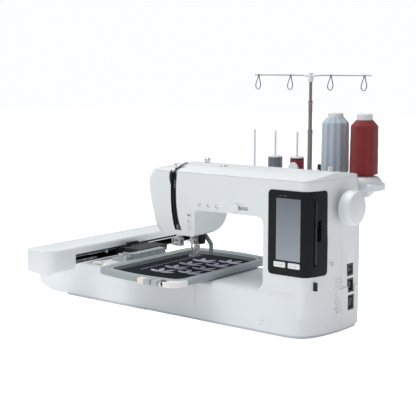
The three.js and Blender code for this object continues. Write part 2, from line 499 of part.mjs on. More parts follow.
// ---- embroidery unit ---------------------------------------------------------------------------
function unitBody(t) {
  const low = t > 0 ? -20 : 0;
  const front = outline([[SEAM_FOOT - 0.6 - t, low], ...seamUp(-0.6 - t, UNIT_TOP - t), [UNIT_LEFT + 12 + t, UNIT_TOP - t],
    [UNIT_LEFT + 2 + t, UNIT_TOP - t, UNIT_LEFT + t, 48], [UNIT_LEFT + 2 + t, 24 + t, UNIT_LEFT + 36, 13 + t], [-362, 6.5 + t], [-331, 6 + t],
    [-325, FLOOR + t], [-100, low]]);
  const side = outline([[BED_FRONT + t, -20], [BED_FRONT + t, 76], [BED_FRONT + t, UNIT_TOP - 1 - t, -70, UNIT_TOP - t],
    [88, UNIT_TOP - t], [BACK - t, UNIT_TOP - t, BACK - t, 70], [BACK - t, -20]]);
  const plan = outline([[70, BED_FRONT + t], [UNIT_LEFT + 34, BED_FRONT + t], [UNIT_LEFT + 1 + t, BED_FRONT + t, UNIT_LEFT + t, -52],
    [UNIT_LEFT + t, 66], [UNIT_LEFT + t, BACK - t, UNIT_LEFT + 34, BACK - t], [-96 - t, BACK - t], [-96 - t, -44 - t], [70, -44 - t]]);
  return prism(front, "Y", -100, 120).intersect(prism(side, "X", UNIT_LEFT - 5, 70)).intersect(prism(plan, "Z", -20, 120));
}
const unitShell = cut(unitBody(0).subtract(unitBody(WALL)), block([-325, 100], everywhere, [-5, FLOOR]),
  block([-388, -194], [20, 32], [70, 100]));
add("unit_housing", largest(unitShell), WHITE);
function unitTray() {
  const plan = outline([[-323, -80], [-88, -80], [-88, -46], [-98, -46], [-98, 94], [-323, 94]]);
  const pads = [[-305, -60], [-305, 75], [-115, -60], [-115, 75]].map((at) => rod("Z", at, 8, 0, 3));
  return join(prism(plan, "Z", 2.4, FLOOR - GAP), ...pads);
}
add("unit_tray", unitTray(), TRAY);
add("x_guide_rail", join(rod("X", [40, 60], 4, -392, -104, 12), rod("X", [10, 60], 4, -392, -104, 12),
  block([-396, -391], [2, 48], [54, 66]), block([-105, -101], [2, 48], [54, 66])), STEEL);

function armHousing() {
  const { left, right, front, back, under, top } = ARM;
  const section = outline([[left + 2, under], [right - 2, under], [right, under + 2], [right, top - 10], [right, top, right - 10, top],
    [left + 10, top], [left, top, left, top - 10], [left, under + 2]]);
  const noseSection = outline([[left, 84], [left, 79.5, left + 5, 79], [left + 34, 75, right - 12, 74.5], [right, 75, right, 84],
    [right, 100], [left, 100]]);
  const plan = outline([[left, front + 12], [left, front, left + 12, front], [right - 26, front - 1], [right, front, right, front + 30],
    [right, back - 12], [right, back, right - 12, back], [left + 12, back], [left, back, left, back - 12]]);
  const side = outline([[front, 60], [back, 60], [back, top - 8], [back, top, back - 8, top], [front + 9, top], [front - 1, top, front - 1, top - 10]]);
  const body = join(slab(section, "Y", front - 1, back, 1.2), slab(noseSection, "Y", front - 1, -131, 1.2))
    .intersect(prism(plan, "Z", 60, 140, 5)).intersect(prism(side, "X", left - 1, right + 1, 5));
  const slot = block([left + 14, right + 10], [-131, back - 14], [90.5, 110]);
  const inside = block([left + 4, right - 8], [-125, back - 14], [110, top - 4]);
  const noseHollow = block([left + 6, right - 14], [front + 8, -140], [88, top - 6]);
  const noseMouth = block([left + 12, right - 14], [-150, -120], [93, 108]);
  const runner = block([-296, -266], [22, 30], [71, 88]);
  return cut(join(body, runner), slot, inside, noseHollow, noseMouth);
}
add("arm_housing", largest(armHousing()), WHITE);
add("arm_guide_rail", join(rod("Y", [-286, 100], 3, -129, 274, 10), rod("Y", [-262, 100], 3, -129, 274, 10),
  block([-292, -256], [-129, -124], [92, 108]), block([-292, -256], [270, 275], [92, 108])), STEEL);

const CARRIAGE = { y: [2, 98] };
const COVER = { x: [-207, -160], y: [-14, 78] };
function carriage() {
  const body = cut(block([-292, -236], CARRIAGE.y, [92, 108.5]), rod("Y", [-286, 100], 3.5, -40, 120, 12),
    rod("Y", [-262, 100], 3.5, -40, 120, 12));
  return join(body, slab(roundRect(COVER.x, COVER.y, 5), "Z", 100.6, 113, 1.5), block([-238, -203], [6, 66], [101, 107.5]));
}
add("carriage", carriage(), BLACK);
add("carriage_lever", join(rod("Z", [-229, 22], 5, 108, 116.5, 16),
  slab(outline([[-234, 20], [-225, 18], [-223, 50], [-231, 52]]), "Z", 113.5, 117.5, 0.8)), BLACK);

// ---- hoop -----------------------------------------------------------------------------------
// A round-cornered rectangle whose front and back edges bulge outward.
function bowed([x0, x1], [y0, y1], r, bow) {
  const middle = (x0 + x1) / 2;
  return outline([[x0 + r, y0], [middle, y0 - 2 * bow, x1 - r, y0], [x1 - r * 0.3, y0, x1, y0 + r * 0.4, x1, y0 + r],
    [x1, y1 - r], [x1, y1 - r * 0.4, x1 - r * 0.3, y1, x1 - r, y1], [middle, y1 + 2 * bow, x0 + r, y1],
    [x0 + r * 0.3, y1, x0, y1 - r * 0.4, x0, y1 - r], [x0, y0 + r], [x0, y0 + r * 0.4, x0 + r * 0.3, y0, x0 + r, y0]]);
}
const grow = ([a, b], by) => [a - by, b + by];
const open = { x: [-118, 68], y: [-158, 118], radius: 24, bow: 6 };
const rim = { x: [-141, 89], y: [-180, 144], radius: 40, bow: 9 };
const INNER_RIM = 7;
const opening = (by) => bowed(grow(open.x, by), grow(open.y, by), open.radius + by, open.bow);
const rimOutline = (by) => bowed(grow(rim.x, by), grow(rim.y, by), rim.radius + by, rim.bow);

add("inner_hoop", cut(slab(opening(INNER_RIM), "Z", HOOP.low, HOOP.high - 0.5, 1, 5), prism(opening(0), "Z", 80, 120, 5)), GREY);
const CLAMP = { y: -193.5, z: 97, split: [30.5, 33.5] };     // screw axis and the cut in the rim
function outerHoop() {
  const ring = slab(rimOutline(0), "Z", HOOP.low, HOOP.high, 1, 5);
  const bore = prism(opening(INNER_RIM + 0.8), "Z", 80, 120, 5);
  const flange = slab(roundRect([-196, -132], [-70, 44], 5), "Z", 94, 99.8, 1);
  const bar = join(slab(roundRect([-154, -139], [-60, 44], 4), "Z", 95, 113, 1.5),
    slab(roundRect([-168, -140], [-78, -57], 4), "Z", 95, 109, 1.5));
  const lugs = [[-1, 15.5], [16, CLAMP.split[0]], [CLAMP.split[1], 50]].map((x) => block(x, [-199, -176], [92, 102.4]));
  return cut(join(ring, flange, bar, ...lugs, block([15, 17], [-197, -180], [93, 101])), bore,
    block(CLAMP.split, [-220, -150], [80, 120]), rod("X", [CLAMP.y, CLAMP.z], 3, 10, 52));
}
add("outer_hoop", outerHoop(), GREY);
add("embroidery_cloth", prism(opening(-GAP), "Z", HOOP.low + 0.4, HOOP.low + 1.9, 5), CLOTH);
add("hoop_screw", join(rod("X", [CLAMP.y, CLAMP.z], 2.6, 20, 56, 12), turning("X", [CLAMP.y, CLAMP.z],
  [[0, 50.6], [4, 50.6], [4.8, 51.4], [4.8, 56.4], [4, 57.4], [0, 57.4]], 12)), STEEL);
// A curved handle lying along the front-right corner of the rim, round at its pivot so that it clears the screw's knob as it swings.
const LEVER_PIVOT = { x: 64.9, y: -191.5 };
function hoopLever() {
  const form = slab(bowed([-150, rim.x[1] + 4], [-198, 160], 36, 2), "Z", 91.5, 102.4, 1, 6);
  const reach = join(block([LEVER_PIVOT.x, 120], [-220, -158], [80, 120]), rod("Z", [LEVER_PIVOT.x, LEVER_PIVOT.y], 6.4, 80, 120));
  return largest(cut(form, prism(rimOutline(0.6), "Z", 80, 120, 6)).intersect(reach));
}
add("hoop_lever", hoopLever(), CREAM);

export default machine;
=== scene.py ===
import json
import math
import bmesh
import bpy
from mathutils import Matrix, Vector


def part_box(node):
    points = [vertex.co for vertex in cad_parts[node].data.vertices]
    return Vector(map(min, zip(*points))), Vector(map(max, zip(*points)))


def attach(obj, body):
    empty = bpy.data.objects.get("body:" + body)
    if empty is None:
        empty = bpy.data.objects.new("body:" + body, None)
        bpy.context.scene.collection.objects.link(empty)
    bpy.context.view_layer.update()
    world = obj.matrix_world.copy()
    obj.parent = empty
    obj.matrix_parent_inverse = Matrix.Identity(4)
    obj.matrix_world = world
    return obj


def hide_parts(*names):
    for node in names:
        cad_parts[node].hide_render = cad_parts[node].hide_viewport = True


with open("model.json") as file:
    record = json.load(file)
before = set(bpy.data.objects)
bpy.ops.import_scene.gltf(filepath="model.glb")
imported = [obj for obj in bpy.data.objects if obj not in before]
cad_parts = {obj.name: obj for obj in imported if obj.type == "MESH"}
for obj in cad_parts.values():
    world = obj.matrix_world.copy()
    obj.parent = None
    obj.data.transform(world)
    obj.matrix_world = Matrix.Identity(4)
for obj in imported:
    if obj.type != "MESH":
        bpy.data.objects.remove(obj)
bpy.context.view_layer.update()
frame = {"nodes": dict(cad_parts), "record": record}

MM = 0.001
scene = bpy.context.scene

# ---- camera -------------------------------------------------------------------------------
CAMERA_PLACE = Vector((1.3294, -1.6585, 0.510))
CAMERA_AZIMUTH = math.radians(38.34)
CAMERA_DOWN = math.radians(8.03)


def add_camera():
    camera = bpy.data.objects.new("camera", bpy.data.cameras.new("camera"))
    camera.data.sensor_width = 36.0
    camera.data.lens = 86.93
    camera.location = CAMERA_PLACE
    camera.rotation_euler = (math.pi / 2 - CAMERA_DOWN, 0.0, CAMERA_AZIMUTH)
    scene.collection.objects.link(camera)
    scene.camera = camera


# ---- shader tools -------------------------------------------------------------------------
class Shader:
    """A Principled material with short helpers for the nodes around it."""

    def __init__(self, name, color, roughness, metallic=0.0):
        self.material = bpy.data.materials.new(name)
        self.material.use_nodes = True
        self.tree = self.material.node_tree
        self.bsdf = self.tree.nodes["Principled BSDF"]
        self.bsdf.inputs["Base Color"].default_value = (*color, 1.0)
        self.bsdf.inputs["Roughness"].default_value = roughness
        self.bsdf.inputs["Metallic"].default_value = metallic
        self.material.diffuse_color = (*color, 1.0)
        self.color = color
        self.roughness = roughness

    def node(self, kind, **values):
        made = self.tree.nodes.new(kind)
        for key, value in values.items():
            if hasattr(made, key):
                setattr(made, key, value)
            else:
                made.inputs[key.replace("_", " ")].default_value = value
        return made

    def link(self, a, b):
        self.tree.links.new(a, b)

    def coordinates(self, stretch=(1.0, 1.0, 1.0)):
        place = self.node("ShaderNodeTexCoord")
        mapping = self.node("ShaderNodeMapping")
        mapping.inputs["Scale"].default_value = stretch
        self.link(place.outputs["Object"], mapping.inputs["Vector"])
        return mapping.outputs["Vector"]

    def noise(self, scale, detail=3.0, stretch=(1.0, 1.0, 1.0), roughness=0.5):
        made = self.node("ShaderNodeTexNoise")
        made.inputs["Scale"].default_value = scale
        made.inputs["Detail"].default_value = detail
        made.inputs["Roughness"].default_value = roughness
        self.link(self.coordinates(stretch), made.inputs["Vector"])
        return made.outputs["Fac"]

    def span(self, value, low, high, out_low, out_high):
        made = self.node("ShaderNodeMapRange")
        for key, number in (("From Min", low), ("From Max", high), ("To Min", out_low), ("To Max", out_high)):
            made.inputs[key].default_value = number
        self.link(value, made.inputs["Value"])
        return made.outputs["Result"]

    def blend_color(self, factor, first, second):
        made = self.node("ShaderNodeMix", data_type="RGBA")
        made.inputs[6].default_value = (*first, 1.0)
        made.inputs[7].default_value = (*second, 1.0)
        self.link(factor, made.inputs[0])
        return made.outputs[2]

    def paint(self, socket):
        self.link(socket, self.bsdf.inputs["Base Color"])

    def rough(self, socket):
        self.link(socket, self.bsdf.inputs["Roughness"])

    def bump(self, height, distance, strength=1.0):
        made = self.node("ShaderNodeBump")
        made.inputs["Distance"].default_value = distance
        made.inputs["Strength"].default_value = strength
        self.link(height, made.inputs["Height"])
        self.link(made.outputs["Normal"], self.bsdf.inputs["Normal"])


def shade(color, factor):
    return tuple(min(1.0, channel * factor) for channel in color)


def plastic(name, color, roughness, grain=0.000025, coat=0.0, shine=0.5):
    """Moulded plastic: a fine spark-eroded grain, faint tone drift and handling marks in the gloss."""
    shader = Shader(name, color, roughness)
    drift = shader.noise(14.0, 2.0)
    shader.paint(shader.blend_color(drift, shade(color, 0.975), shade(color, 1.02)))
    marks = shader.noise(60.0, 6.0, roughness=0.7)
    shader.rough(shader.span(marks, 0.3, 0.75, roughness * 0.88, roughness * 1.15))
    shader.bump(shader.noise(2400.0, 2.0), grain)
    shader.bsdf.inputs["Coat Weight"].default_value = coat
    shader.bsdf.inputs["Coat Roughness"].default_value = 0.12
    shader.bsdf.inputs["Specular IOR Level"].default_value = shine
    return shader.material


def metal(name, color, roughness, brush=(1.0, 1.0, 30.0)):
    """Plated steel with fine drawing lines and small changes in polish."""
    shader = Shader(name, color, roughness, 1.0)
    lines = shader.noise(500.0, 4.0, stretch=brush)
    shader.rough(shader.span(lines, 0.3, 0.7, roughness * 0.75, roughness * 1.35))
    shader.paint(shader.blend_color(shader.noise(40.0, 3.0), shade(color, 0.9), shade(color, 1.06)))
    shader.bump(lines, 0.00001)
    return shader.material


def rubber(name, color):
    shader = Shader(name, color, 0.85)
    shader.paint(shader.blend_color(shader.noise(90.0, 5.0), shade(color, 0.8), shade(color, 1.6)))
    shader.bump(shader.noise(900.0, 3.0), 0.00008)
    return shader.material


def wound_thread(name, color, axis_scale=1.0, sheen=0.35):
    """Cross-wound thread: fine helical lines both ways over the package, with a soft lustre."""
    shader = Shader(name, color, 0.42)
    coords = shader.node("ShaderNodeTexCoord")
    parts = shader.node("ShaderNodeSeparateXYZ")
    shader.link(coords.outputs["UV"], parts.inputs["Vector"])
    lines = []
    for direction in (1.0, -1.0):
        lean = shader.node("ShaderNodeMath", operation="MULTIPLY_ADD")
        shader.link(parts.outputs["X"], lean.inputs[0])
        lean.inputs[1].default_value = direction * 6.0
        turns = shader.node("ShaderNodeMath", operation="MULTIPLY")
        shader.link(parts.outputs["Y"], turns.inputs[0])
        turns.inputs[1].default_value = 150.0 * axis_scale
        shader.link(turns.outputs[0], lean.inputs[2])
        wave = shader.node("ShaderNodeMath", operation="SINE")
        scaled = shader.node("ShaderNodeMath", operation="MULTIPLY")
        scaled.inputs[1].default_value = 2.0 * math.pi
        shader.link(lean.outputs[0], scaled.inputs[0])
        shader.link(scaled.outputs[0], wave.inputs[0])
        lines.append(wave.outputs[0])
    top = shader.node("ShaderNodeMath", operation="MAXIMUM")
    shader.link(lines[0], top.inputs[0])
    shader.link(lines[1], top.inputs[1])
    shader.paint(shader.blend_color(shader.span(top.outputs[0], -1.0, 1.0, 0.0, 1.0), shade(color, 0.62),
                                    shade(color, 1.25)))
    shader.bump(top.outputs[0], 0.00025)
    shader.bsdf.inputs["Sheen Weight"].default_value = sheen
    shader.bsdf.inputs["Sheen Roughness"].default_value = 0.4
    return shader.material


def cloth(name, color):
    """Plain-weave cotton: warp and weft ribs about 0.5 mm apart."""
    shader = Shader(name, color, 0.95)
    coords = shader.coordinates()
    parts = shader.node("ShaderNodeSeparateXYZ")
    shader.link(coords, parts.inputs["Vector"])
    waves = []
    for channel in ("X", "Y"):
        scaled = shader.node("ShaderNodeMath", operation="MULTIPLY")
        scaled.inputs[1].default_value = 2.0 * math.pi / 0.0009
        shader.link(parts.outputs[channel], scaled.inputs[0])
        wave = shader.node("ShaderNodeMath", operation="SINE")
        shader.link(scaled.outputs[0], wave.inputs[0])
        waves.append(wave.outputs[0])
    weave = shader.node("ShaderNodeMath", operation="MULTIPLY")
    shader.link(waves[0], weave.inputs[0])
    shader.link(waves[1], weave.inputs[1])
    tone = shader.span(weave.outputs[0], -1.0, 1.0, 0.0, 1.0)
    shader.paint(shader.blend_color(tone, shade(color, 0.7), shade(color, 1.35)))
    shader.bump(weave.outputs[0], 0.0001)
    shader.bsdf.inputs["Specular IOR Level"].default_value = 0.12
    return shader.material


def rayon(name, color):
    """Embroidery thread: lustrous fibres with small changes of tone from stitch to stitch."""
    shader = Shader(name, color, 0.38)
    shader.paint(shader.blend_color(shader.noise(420.0, 3.0), shade(color, 0.72), shade(color, 1.25)))
    shader.bump(shader.noise(3000.0, 2.0), 0.00004)
    shader.bsdf.inputs["Sheen Weight"].default_value = 0.3
    return shader.material


def screen_glass(name):
    """A display behind glossy glass: grey-blue, lighter at the bottom and darker towards the top."""
    shader = Shader(name, (0.15, 0.17, 0.22), 0.12)
    place = shader.node("ShaderNodeTexCoord")
    parts = shader.node("ShaderNodeSeparateXYZ")
    shader.link(place.outputs["Object"], parts.inputs["Vector"])
    low, high = (corner.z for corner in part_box("touch_screen"))
    height = shader.span(parts.outputs["Z"], low, high, 0.0, 1.0)
    shader.paint(shader.blend_color(height, (0.26, 0.29, 0.34), (0.105, 0.12, 0.16)))
    shader.bsdf.inputs["Coat Weight"].default_value = 1.0
    shader.bsdf.inputs["Coat Roughness"].default_value = 0.03
    return shader.material


WHITE = (0.80, 0.835, 0.86)
MATERIALS = {
    "body_white": plastic("body_white", WHITE, 0.34, coat=0.15),
    "button_white": plastic("button_white", (0.82, 0.84, 0.86), 0.3, coat=0.2),
    "tray_white": plastic("tray_white", (0.62, 0.65, 0.68), 0.5),
    "graphite": plastic("graphite", (0.0055, 0.0066, 0.0075), 0.34, coat=0.0, shine=0.2),
    "black": plastic("black", (0.012, 0.013, 0.014), 0.45),
    "hoop_grey": plastic("hoop_grey", (0.33, 0.37, 0.385), 0.42),
    "cream": plastic("cream", (0.80, 0.76, 0.70), 0.32, coat=0.2),
    "screen": screen_glass("screen"),
    "steel": metal("steel", (0.66, 0.66, 0.67), 0.24),
    "mast_nickel": metal("mast_nickel", (0.30, 0.28, 0.25), 0.28),
    "cast": metal("cast", (0.5, 0.51, 0.52), 0.55, brush=(1.0, 1.0, 1.0)),
    "rubber": rubber("rubber", (0.02, 0.021, 0.022)),
    "thread_grey": wound_thread("thread_grey", (0.16, 0.18, 0.21), 0.3),
    "thread_crimson": wound_thread("thread_crimson", (0.25, 0.006, 0.022), 0.45, 0.1),
    "thread_silver": wound_thread("thread_silver", (0.56, 0.65, 0.73), 1.0, 0.2),
    "thread_red": wound_thread("thread_red", (0.27, 0.007, 0.010), 1.0, 0.1),
    "cloth": cloth("cloth", (0.014, 0.019, 0.024)),
    "stitch": rayon("stitch", (0.47, 0.48, 0.57)),
}
MATERIALS |= {"liner": plastic("liner", (0.006, 0.0065, 0.007), 0.6),
              "print_grey": plastic("print_grey", (0.16, 0.18, 0.20), 0.5),
              "print_pale": plastic("print_pale", (0.50, 0.54, 0.57), 0.5),
              "cap_white": plastic("cap_white", (0.74, 0.76, 0.78), 0.35, coat=0.1),
              "graphite_matte": plastic("graphite_matte", (0.03, 0.033, 0.036), 0.42),
              "lever_white": plastic("lever_white", (0.84, 0.83, 0.80), 0.32, coat=0.15),
              # The lighter copy of the hoop grey below paints the highlight on the inner hoop's ring; the
              # bracket's ribs and latch and the clamp blocks share it.
              "hoop_grey_lit": plastic("hoop_grey_lit", (0.42, 0.455, 0.47), 0.4)}


# ---- mesh tools ---------------------------------------------------------------------------
def piece(name, mesh_data, body, slot, replaced=(), bevel=0.0, segments=2, angle=32.0, look=None):
    """A finished piece: smooth by angle, its edges rounded, riding on its body."""
    made = bpy.data.objects.new(name, mesh_data)
    scene.collection.objects.link(made)
    made.data.materials.clear()
    made.data.materials.append(MATERIALS[look or slot])
    smooth_by_angle(made.data, angle)
    if bevel:
        rounding = made.modifiers.new("rounding", "BEVEL")
        rounding.width = bevel
        rounding.segments = segments
        rounding.limit_method = "ANGLE"
        rounding.angle_limit = math.radians(angle)
        rounding.harden_normals = True
        rounding.miter_outer = "MITER_ARC"
    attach(made, body)
    if replaced:
        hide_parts(*replaced)
    return made


def smooth_by_angle(mesh_data, degrees):
    edit = bmesh.new()
    edit.from_mesh(mesh_data)
    for face in edit.faces:
        face.smooth = True
    for edge in edit.edges:
        edge.smooth = len(edge.link_faces) == 2 and edge.calc_face_angle(0.0) < math.radians(degrees)
    edit.to_mesh(mesh_data)
    edit.free()


def clean_copy(node, weld=0.00012, flat=1.5):
    """The node's surface with its vertices welded and its flat areas as single faces."""
    edit = bmesh.new()
    edit.from_mesh(frame["nodes"][node].data)
    bmesh.ops.remove_doubles(edit, verts=edit.verts, dist=weld)
    bmesh.ops.dissolve_degenerate(edit, edges=edit.edges, dist=weld)
    bmesh.ops.dissolve_limit(edit, angle_limit=math.radians(flat), verts=edit.verts, edges=edit.edges)
    bmesh.ops.recalc_face_normals(edit, faces=edit.faces)
    copy = bpy.data.meshes.new(node + "_skin")
    edit.to_mesh(copy)
    edit.free()
    return copy


def body_of_node(node):
    for body, members in frame["record"]["behaviour"]["bodies"].items():
        if node in members:
            return body
    raise KeyError(node)


SLOT_OF = {entry["node"]: entry["material_slot"] for entry in frame["record"]["subparts"]}
BEVELS = {"front_shell": 0.3, "rear_shell": 0.3, "face_cover": 0.3, "top_cover": 0.3, "unit_housing": 0.6,
          "arm_housing": 0.8, "panel_bezel": 0.5, "outer_hoop": 0.7, "inner_hoop": 0.7, "handwheel": 0.4,
          "hoop_lever": 1.1}


# The inner hoop takes the lighter copy of the hoop grey: painted highlight on its ring.
LOOKS = {"inner_hoop": "hoop_grey_lit", "hoop_lever": "lever_white"}


def skin(node):
    return piece(node + "_skin", clean_copy(node), body_of_node(node), SLOT_OF[node], [node],
                 bevel=BEVELS.get(node, 0.25) * MM, look=LOOKS.get(node))


# The machine's own axes start at the needle plate; the part's origin is the centre of its footprint.
ORIGIN = Vector((33.4, -41.5, 0.0))


def at(x, y, z):
    return (Vector((x, y, z)) + ORIGIN) * MM


def mesh_of(name, points, faces):
    made = bpy.data.meshes.new(name)
    made.from_pydata([tuple(point) for point in points], [], faces)
    made.validate()
    return made


def box(name, body, slot, x, y, z, bevel=0.4, **more):
    corners = [at(a, b, c) for a in x for b in y for c in z]
    faces = [(0, 1, 3, 2), (4, 6, 7, 5), (0, 4, 5, 1), (2, 3, 7, 6), (0, 2, 6, 4), (1, 5, 7, 3)]
    return piece(name, mesh_of(name, corners, faces), body, slot, bevel=bevel * MM, **more)


def plate(name, body, slot, outline, low, high, axis="Z", bevel=0.3, **more):
    """A flat piece: outline in the plane across the axis, from low to high along it."""
    lift = {"Z": lambda a, b, c: at(a, b, c), "Y": lambda a, b, c: at(a, c, b),
            "X": lambda a, b, c: at(c, a, b)}[axis]
    count = len(outline)
    points = [lift(a, b, level) for level in (low, high) for a, b in outline]
    sides = [(i, (i + 1) % count, count + (i + 1) % count, count + i) for i in range(count)]
    made = mesh_of(name, points, [tuple(reversed(range(count))), tuple(range(count, 2 * count)), *sides])
    fix_normals(made)
    return piece(name, made, body, slot, bevel=bevel * MM, **more)


def fix_normals(mesh_data):
    edit = bmesh.new()
    edit.from_mesh(mesh_data)
    bmesh.ops.recalc_face_normals(edit, faces=edit.faces)
    edit.to_mesh(mesh_data)
    edit.free()


def lathe(name, body, slot, center, profile, axis="Z", sides=32, wave=None, **more):
    """A turned piece. profile holds (radius, height) pairs; wave changes the radius round the turn."""
    points, faces, map_uv = [], [], []
    for ring, (radius, height) in enumerate(profile):
        for k in range(sides):
            angle = 2 * math.pi * k / sides
            r = radius + (wave(ring, angle) if wave else 0.0)
            a, b = r * math.cos(angle), r * math.sin(angle)
            x, y, z = center
            points.append({"Z": at(x + a, y + b, height), "X": at(height, y + a, z + b),
                           "Y": at(x + a, height, z + b)}[axis])
    for ring in range(len(profile) - 1):
        for k in range(sides):
            n = (k + 1) % sides
            faces.append((ring * sides + k, ring * sides + n, (ring + 1) * sides + n, (ring + 1) * sides + k))
            map_uv.append([(k / sides, ring), ((k + 1) / sides, ring), ((k + 1) / sides, ring + 1),
                           (k / sides, ring + 1)])
    for ring in (0, len(profile) - 1):
        if profile[ring][0] > 1e-6 and profile[0] != profile[-1]:
            faces.append(tuple(ring * sides + k for k in range(sides)))
            map_uv.append([(0.0, ring)] * sides)
    made = bpy.data.meshes.new(name)
    made.from_pydata([tuple(point) for point in points], [], faces)
    heights = [height for _, height in profile]
    layer = made.uv_layers.new(name="UVMap")
    for polygon, corners in zip(made.polygons, map_uv):
        for loop, (u, ring) in zip(polygon.loop_indices, corners):
            layer.data[loop].uv = (u, (heights[ring] - heights[0]) * 0.01)
    edit = bmesh.new()
    edit.from_mesh(made)
    bmesh.ops.remove_doubles(edit, verts=edit.verts, dist=1e-6)
    bmesh.ops.recalc_face_normals(edit, faces=edit.faces)
    edit.to_mesh(made)
    edit.free()
    return piece(name, made, body, slot, **more)


def sweep(name, body, slot, path, radius, sides=10, smooth=6, flat=1.0, **more):
    """A rod of round or flattened section along a smooth curve through the path's points."""
    nodes = [at(*point) for point in path]
    line = []
    for i in range(len(nodes) - 1):
        before = nodes[max(i - 1, 0)]
        after = nodes[min(i + 2, len(nodes) - 1)]
        for k in range(smooth):
            t = k / smooth
            line.append(0.5 * (2 * nodes[i] + (nodes[i + 1] - before) * t
                               + (2 * before - 5 * nodes[i] + 4 * nodes[i + 1] - after) * t * t
                               + (3 * nodes[i] - before - 3 * nodes[i + 1] + after) * t ** 3))
    line.append(nodes[-1])
    points, faces = [], []
    side = None
    for i, place in enumerate(line):
        along = (line[min(i + 1, len(line) - 1)] - line[max(i - 1, 0)]).normalized()
        if side is None:
            side = along.cross(Vector((0, 1, 0)) if abs(along.y) < 0.9 else Vector((1, 0, 0))).normalized()
        side = (side - along * side.dot(along)).normalized()
        up = along.cross(side)
        for k in range(sides):
            angle = 2 * math.pi * k / sides
            points.append(place + (side * math.cos(angle) + up * math.sin(angle) * flat) * radius * MM)
    for i in range(len(line) - 1):
        for k in range(sides):
            n = (k + 1) % sides
            faces.append((i * sides + k, i * sides + n, (i + 1) * sides + n, (i + 1) * sides + k))
    faces += [tuple(reversed(range(sides))), tuple(range((len(line) - 1) * sides, len(line) * sides))]
    made = mesh_of(name, points, faces)
    fix_normals(made)
    return piece(name, made, body, slot, **more)


def rounded(x, y, radius, steps=5):
    """The outline of a rectangle with round corners."""
    corners = [(x[1] - radius, y[0] + radius, -90), (x[1] - radius, y[1] - radius, 0),
               (x[0] + radius, y[1] - radius, 90), (x[0] + radius, y[0] + radius, 180)]
    return [(a + radius * math.cos(math.radians(start + 90 * k / steps)),
             b + radius * math.sin(math.radians(start + 90 * k / steps)))
            for a, b, start in corners for k in range(steps + 1)]


# ---- fabric -------------------------------------------------------------------------------
OPEN_X, OPEN_Y, OPEN_RADIUS, OPEN_BOW = (-117.65, 67.65), (-157.65, 117.65), 23.6, 6.0
CLOTH_LOW, CLOTH_THICK = 91.2, 0.7


def cloth_point(s, t):
    """s and t from -1 to 1 across and along the hoop's opening, whose ends bulge and whose corners are round."""
    half_x, half_y = (OPEN_X[1] - OPEN_X[0]) / 2, (OPEN_Y[1] - OPEN_Y[0]) / 2
    y = t * half_y
    into = max(0.0, abs(y) - (half_y - OPEN_RADIUS))
    reach = half_x - OPEN_RADIUS + math.sqrt(max(0.0, OPEN_RADIUS ** 2 - into ** 2))
    bulge = OPEN_BOW * (1.0 - (s * reach / half_x) ** 2) * abs(t) ** 6
    y += math.copysign(bulge, t) if t else 0.0
    sag = 0.22 * math.sin(5.1 * s + 1.7 * t) * math.sin(4.3 * t + 0.6) * (1 - s * s) * (1 - t * t)
    return ((OPEN_X[0] + OPEN_X[1]) / 2 + s * reach, (OPEN_Y[0] + OPEN_Y[1]) / 2 + y,
            CLOTH_LOW + CLOTH_THICK + sag)


def make_cloth():
    across, along = 48, 72
    ends = [math.sin(math.pi / 2 * (2 * j / along - 1)) for j in range(along + 1)]
    points = [at(*cloth_point(2 * i / across - 1, t)) for t in ends for i in range(across + 1)]
    faces = [(j * (across + 1) + i, j * (across + 1) + i + 1, (j + 1) * (across + 1) + i + 1,
              (j + 1) * (across + 1) + i)
             for j in range(along) for i in range(across)]
    flat = bpy.data.meshes.new("hooped_cloth")
    flat.from_pydata([tuple(point) for point in points], [], faces)
    fabric = piece("hooped_cloth", flat, "hoop_carriage", "cloth", ["embroidery_cloth"])
    body = fabric.modifiers.new("thickness", "SOLIDIFY")
    body.thickness = CLOTH_THICK * MM
    body.offset = -1.0
    stitches = make_embroidery()


def satin(points, faces, start, end, width, lift, step=0.85):
    """Fills a leaf shape from start to end with raised stitches laid side by side across it."""
    along = Vector(end) - Vector(start)
    length = along.length
    along.normalize()
    across = Vector((-along.y, along.x)) * 0.94 + along * 0.34
    count = max(3, int(length / step))
    for k in range(count):
        middle = Vector(start) + along * ((k + 0.5) / count * length)
        half = width / 2 * math.sin(math.pi * (k + 0.5) / count) ** 0.75
        rows = [middle - along * step * 0.48, middle + along * step * 0.48]
        base = len(points)
        for side in (-1.0, 1.0):
            for row in rows:
                points.append((*(row + across * half * side), lift))
        for side in (-1.0, 1.0):
            points.append((*(middle + across * max(half - 0.5, half * 0.4) * side), lift + 0.42))
        a, b, c, d, e, f = range(base, base + 6)
        faces += [(a, b, e), (d, c, f), (a, e, f, c), (b, d, f, e), (a, c, d, b)]


def make_embroidery():
    """A plain border of running leaves beside sprigs of pointed leaves, stitched in one thread."""
    points, faces = [], []
    lift = CLOTH_LOW + CLOTH_THICK + 0.05
    for row, x in enumerate((-40.0, 14.0)):
        for k in range(4):
            y = -92.0 + 46.0 * k + 23.0 * row
            for lean, reach in ((1.15, 31.0), (-1.15, 31.0), (0.42, 36.0), (-0.42, 36.0)):
                direction = Vector((math.sin(lean), math.cos(lean)))
                foot = Vector((x, y)) + direction * 3.0
                satin(points, faces, foot, foot + direction * reach, 12.5, lift)
    for k in range(26):
        y = -96.0 + 8.0 * k
        lean = 2.2 if k % 2 else -2.2
        satin(points, faces, (-86.0 - lean, y), (-86.0 + lean, y + 5.5), 2.2, lift, 0.7)
    made = mesh_of("embroidered_sprigs", [at(*point) for point in points], faces)
    fix_normals(made)
    return [piece("embroidered_sprigs", made, "hoop_carriage", "thread_silver", look="stitch", angle=20)]


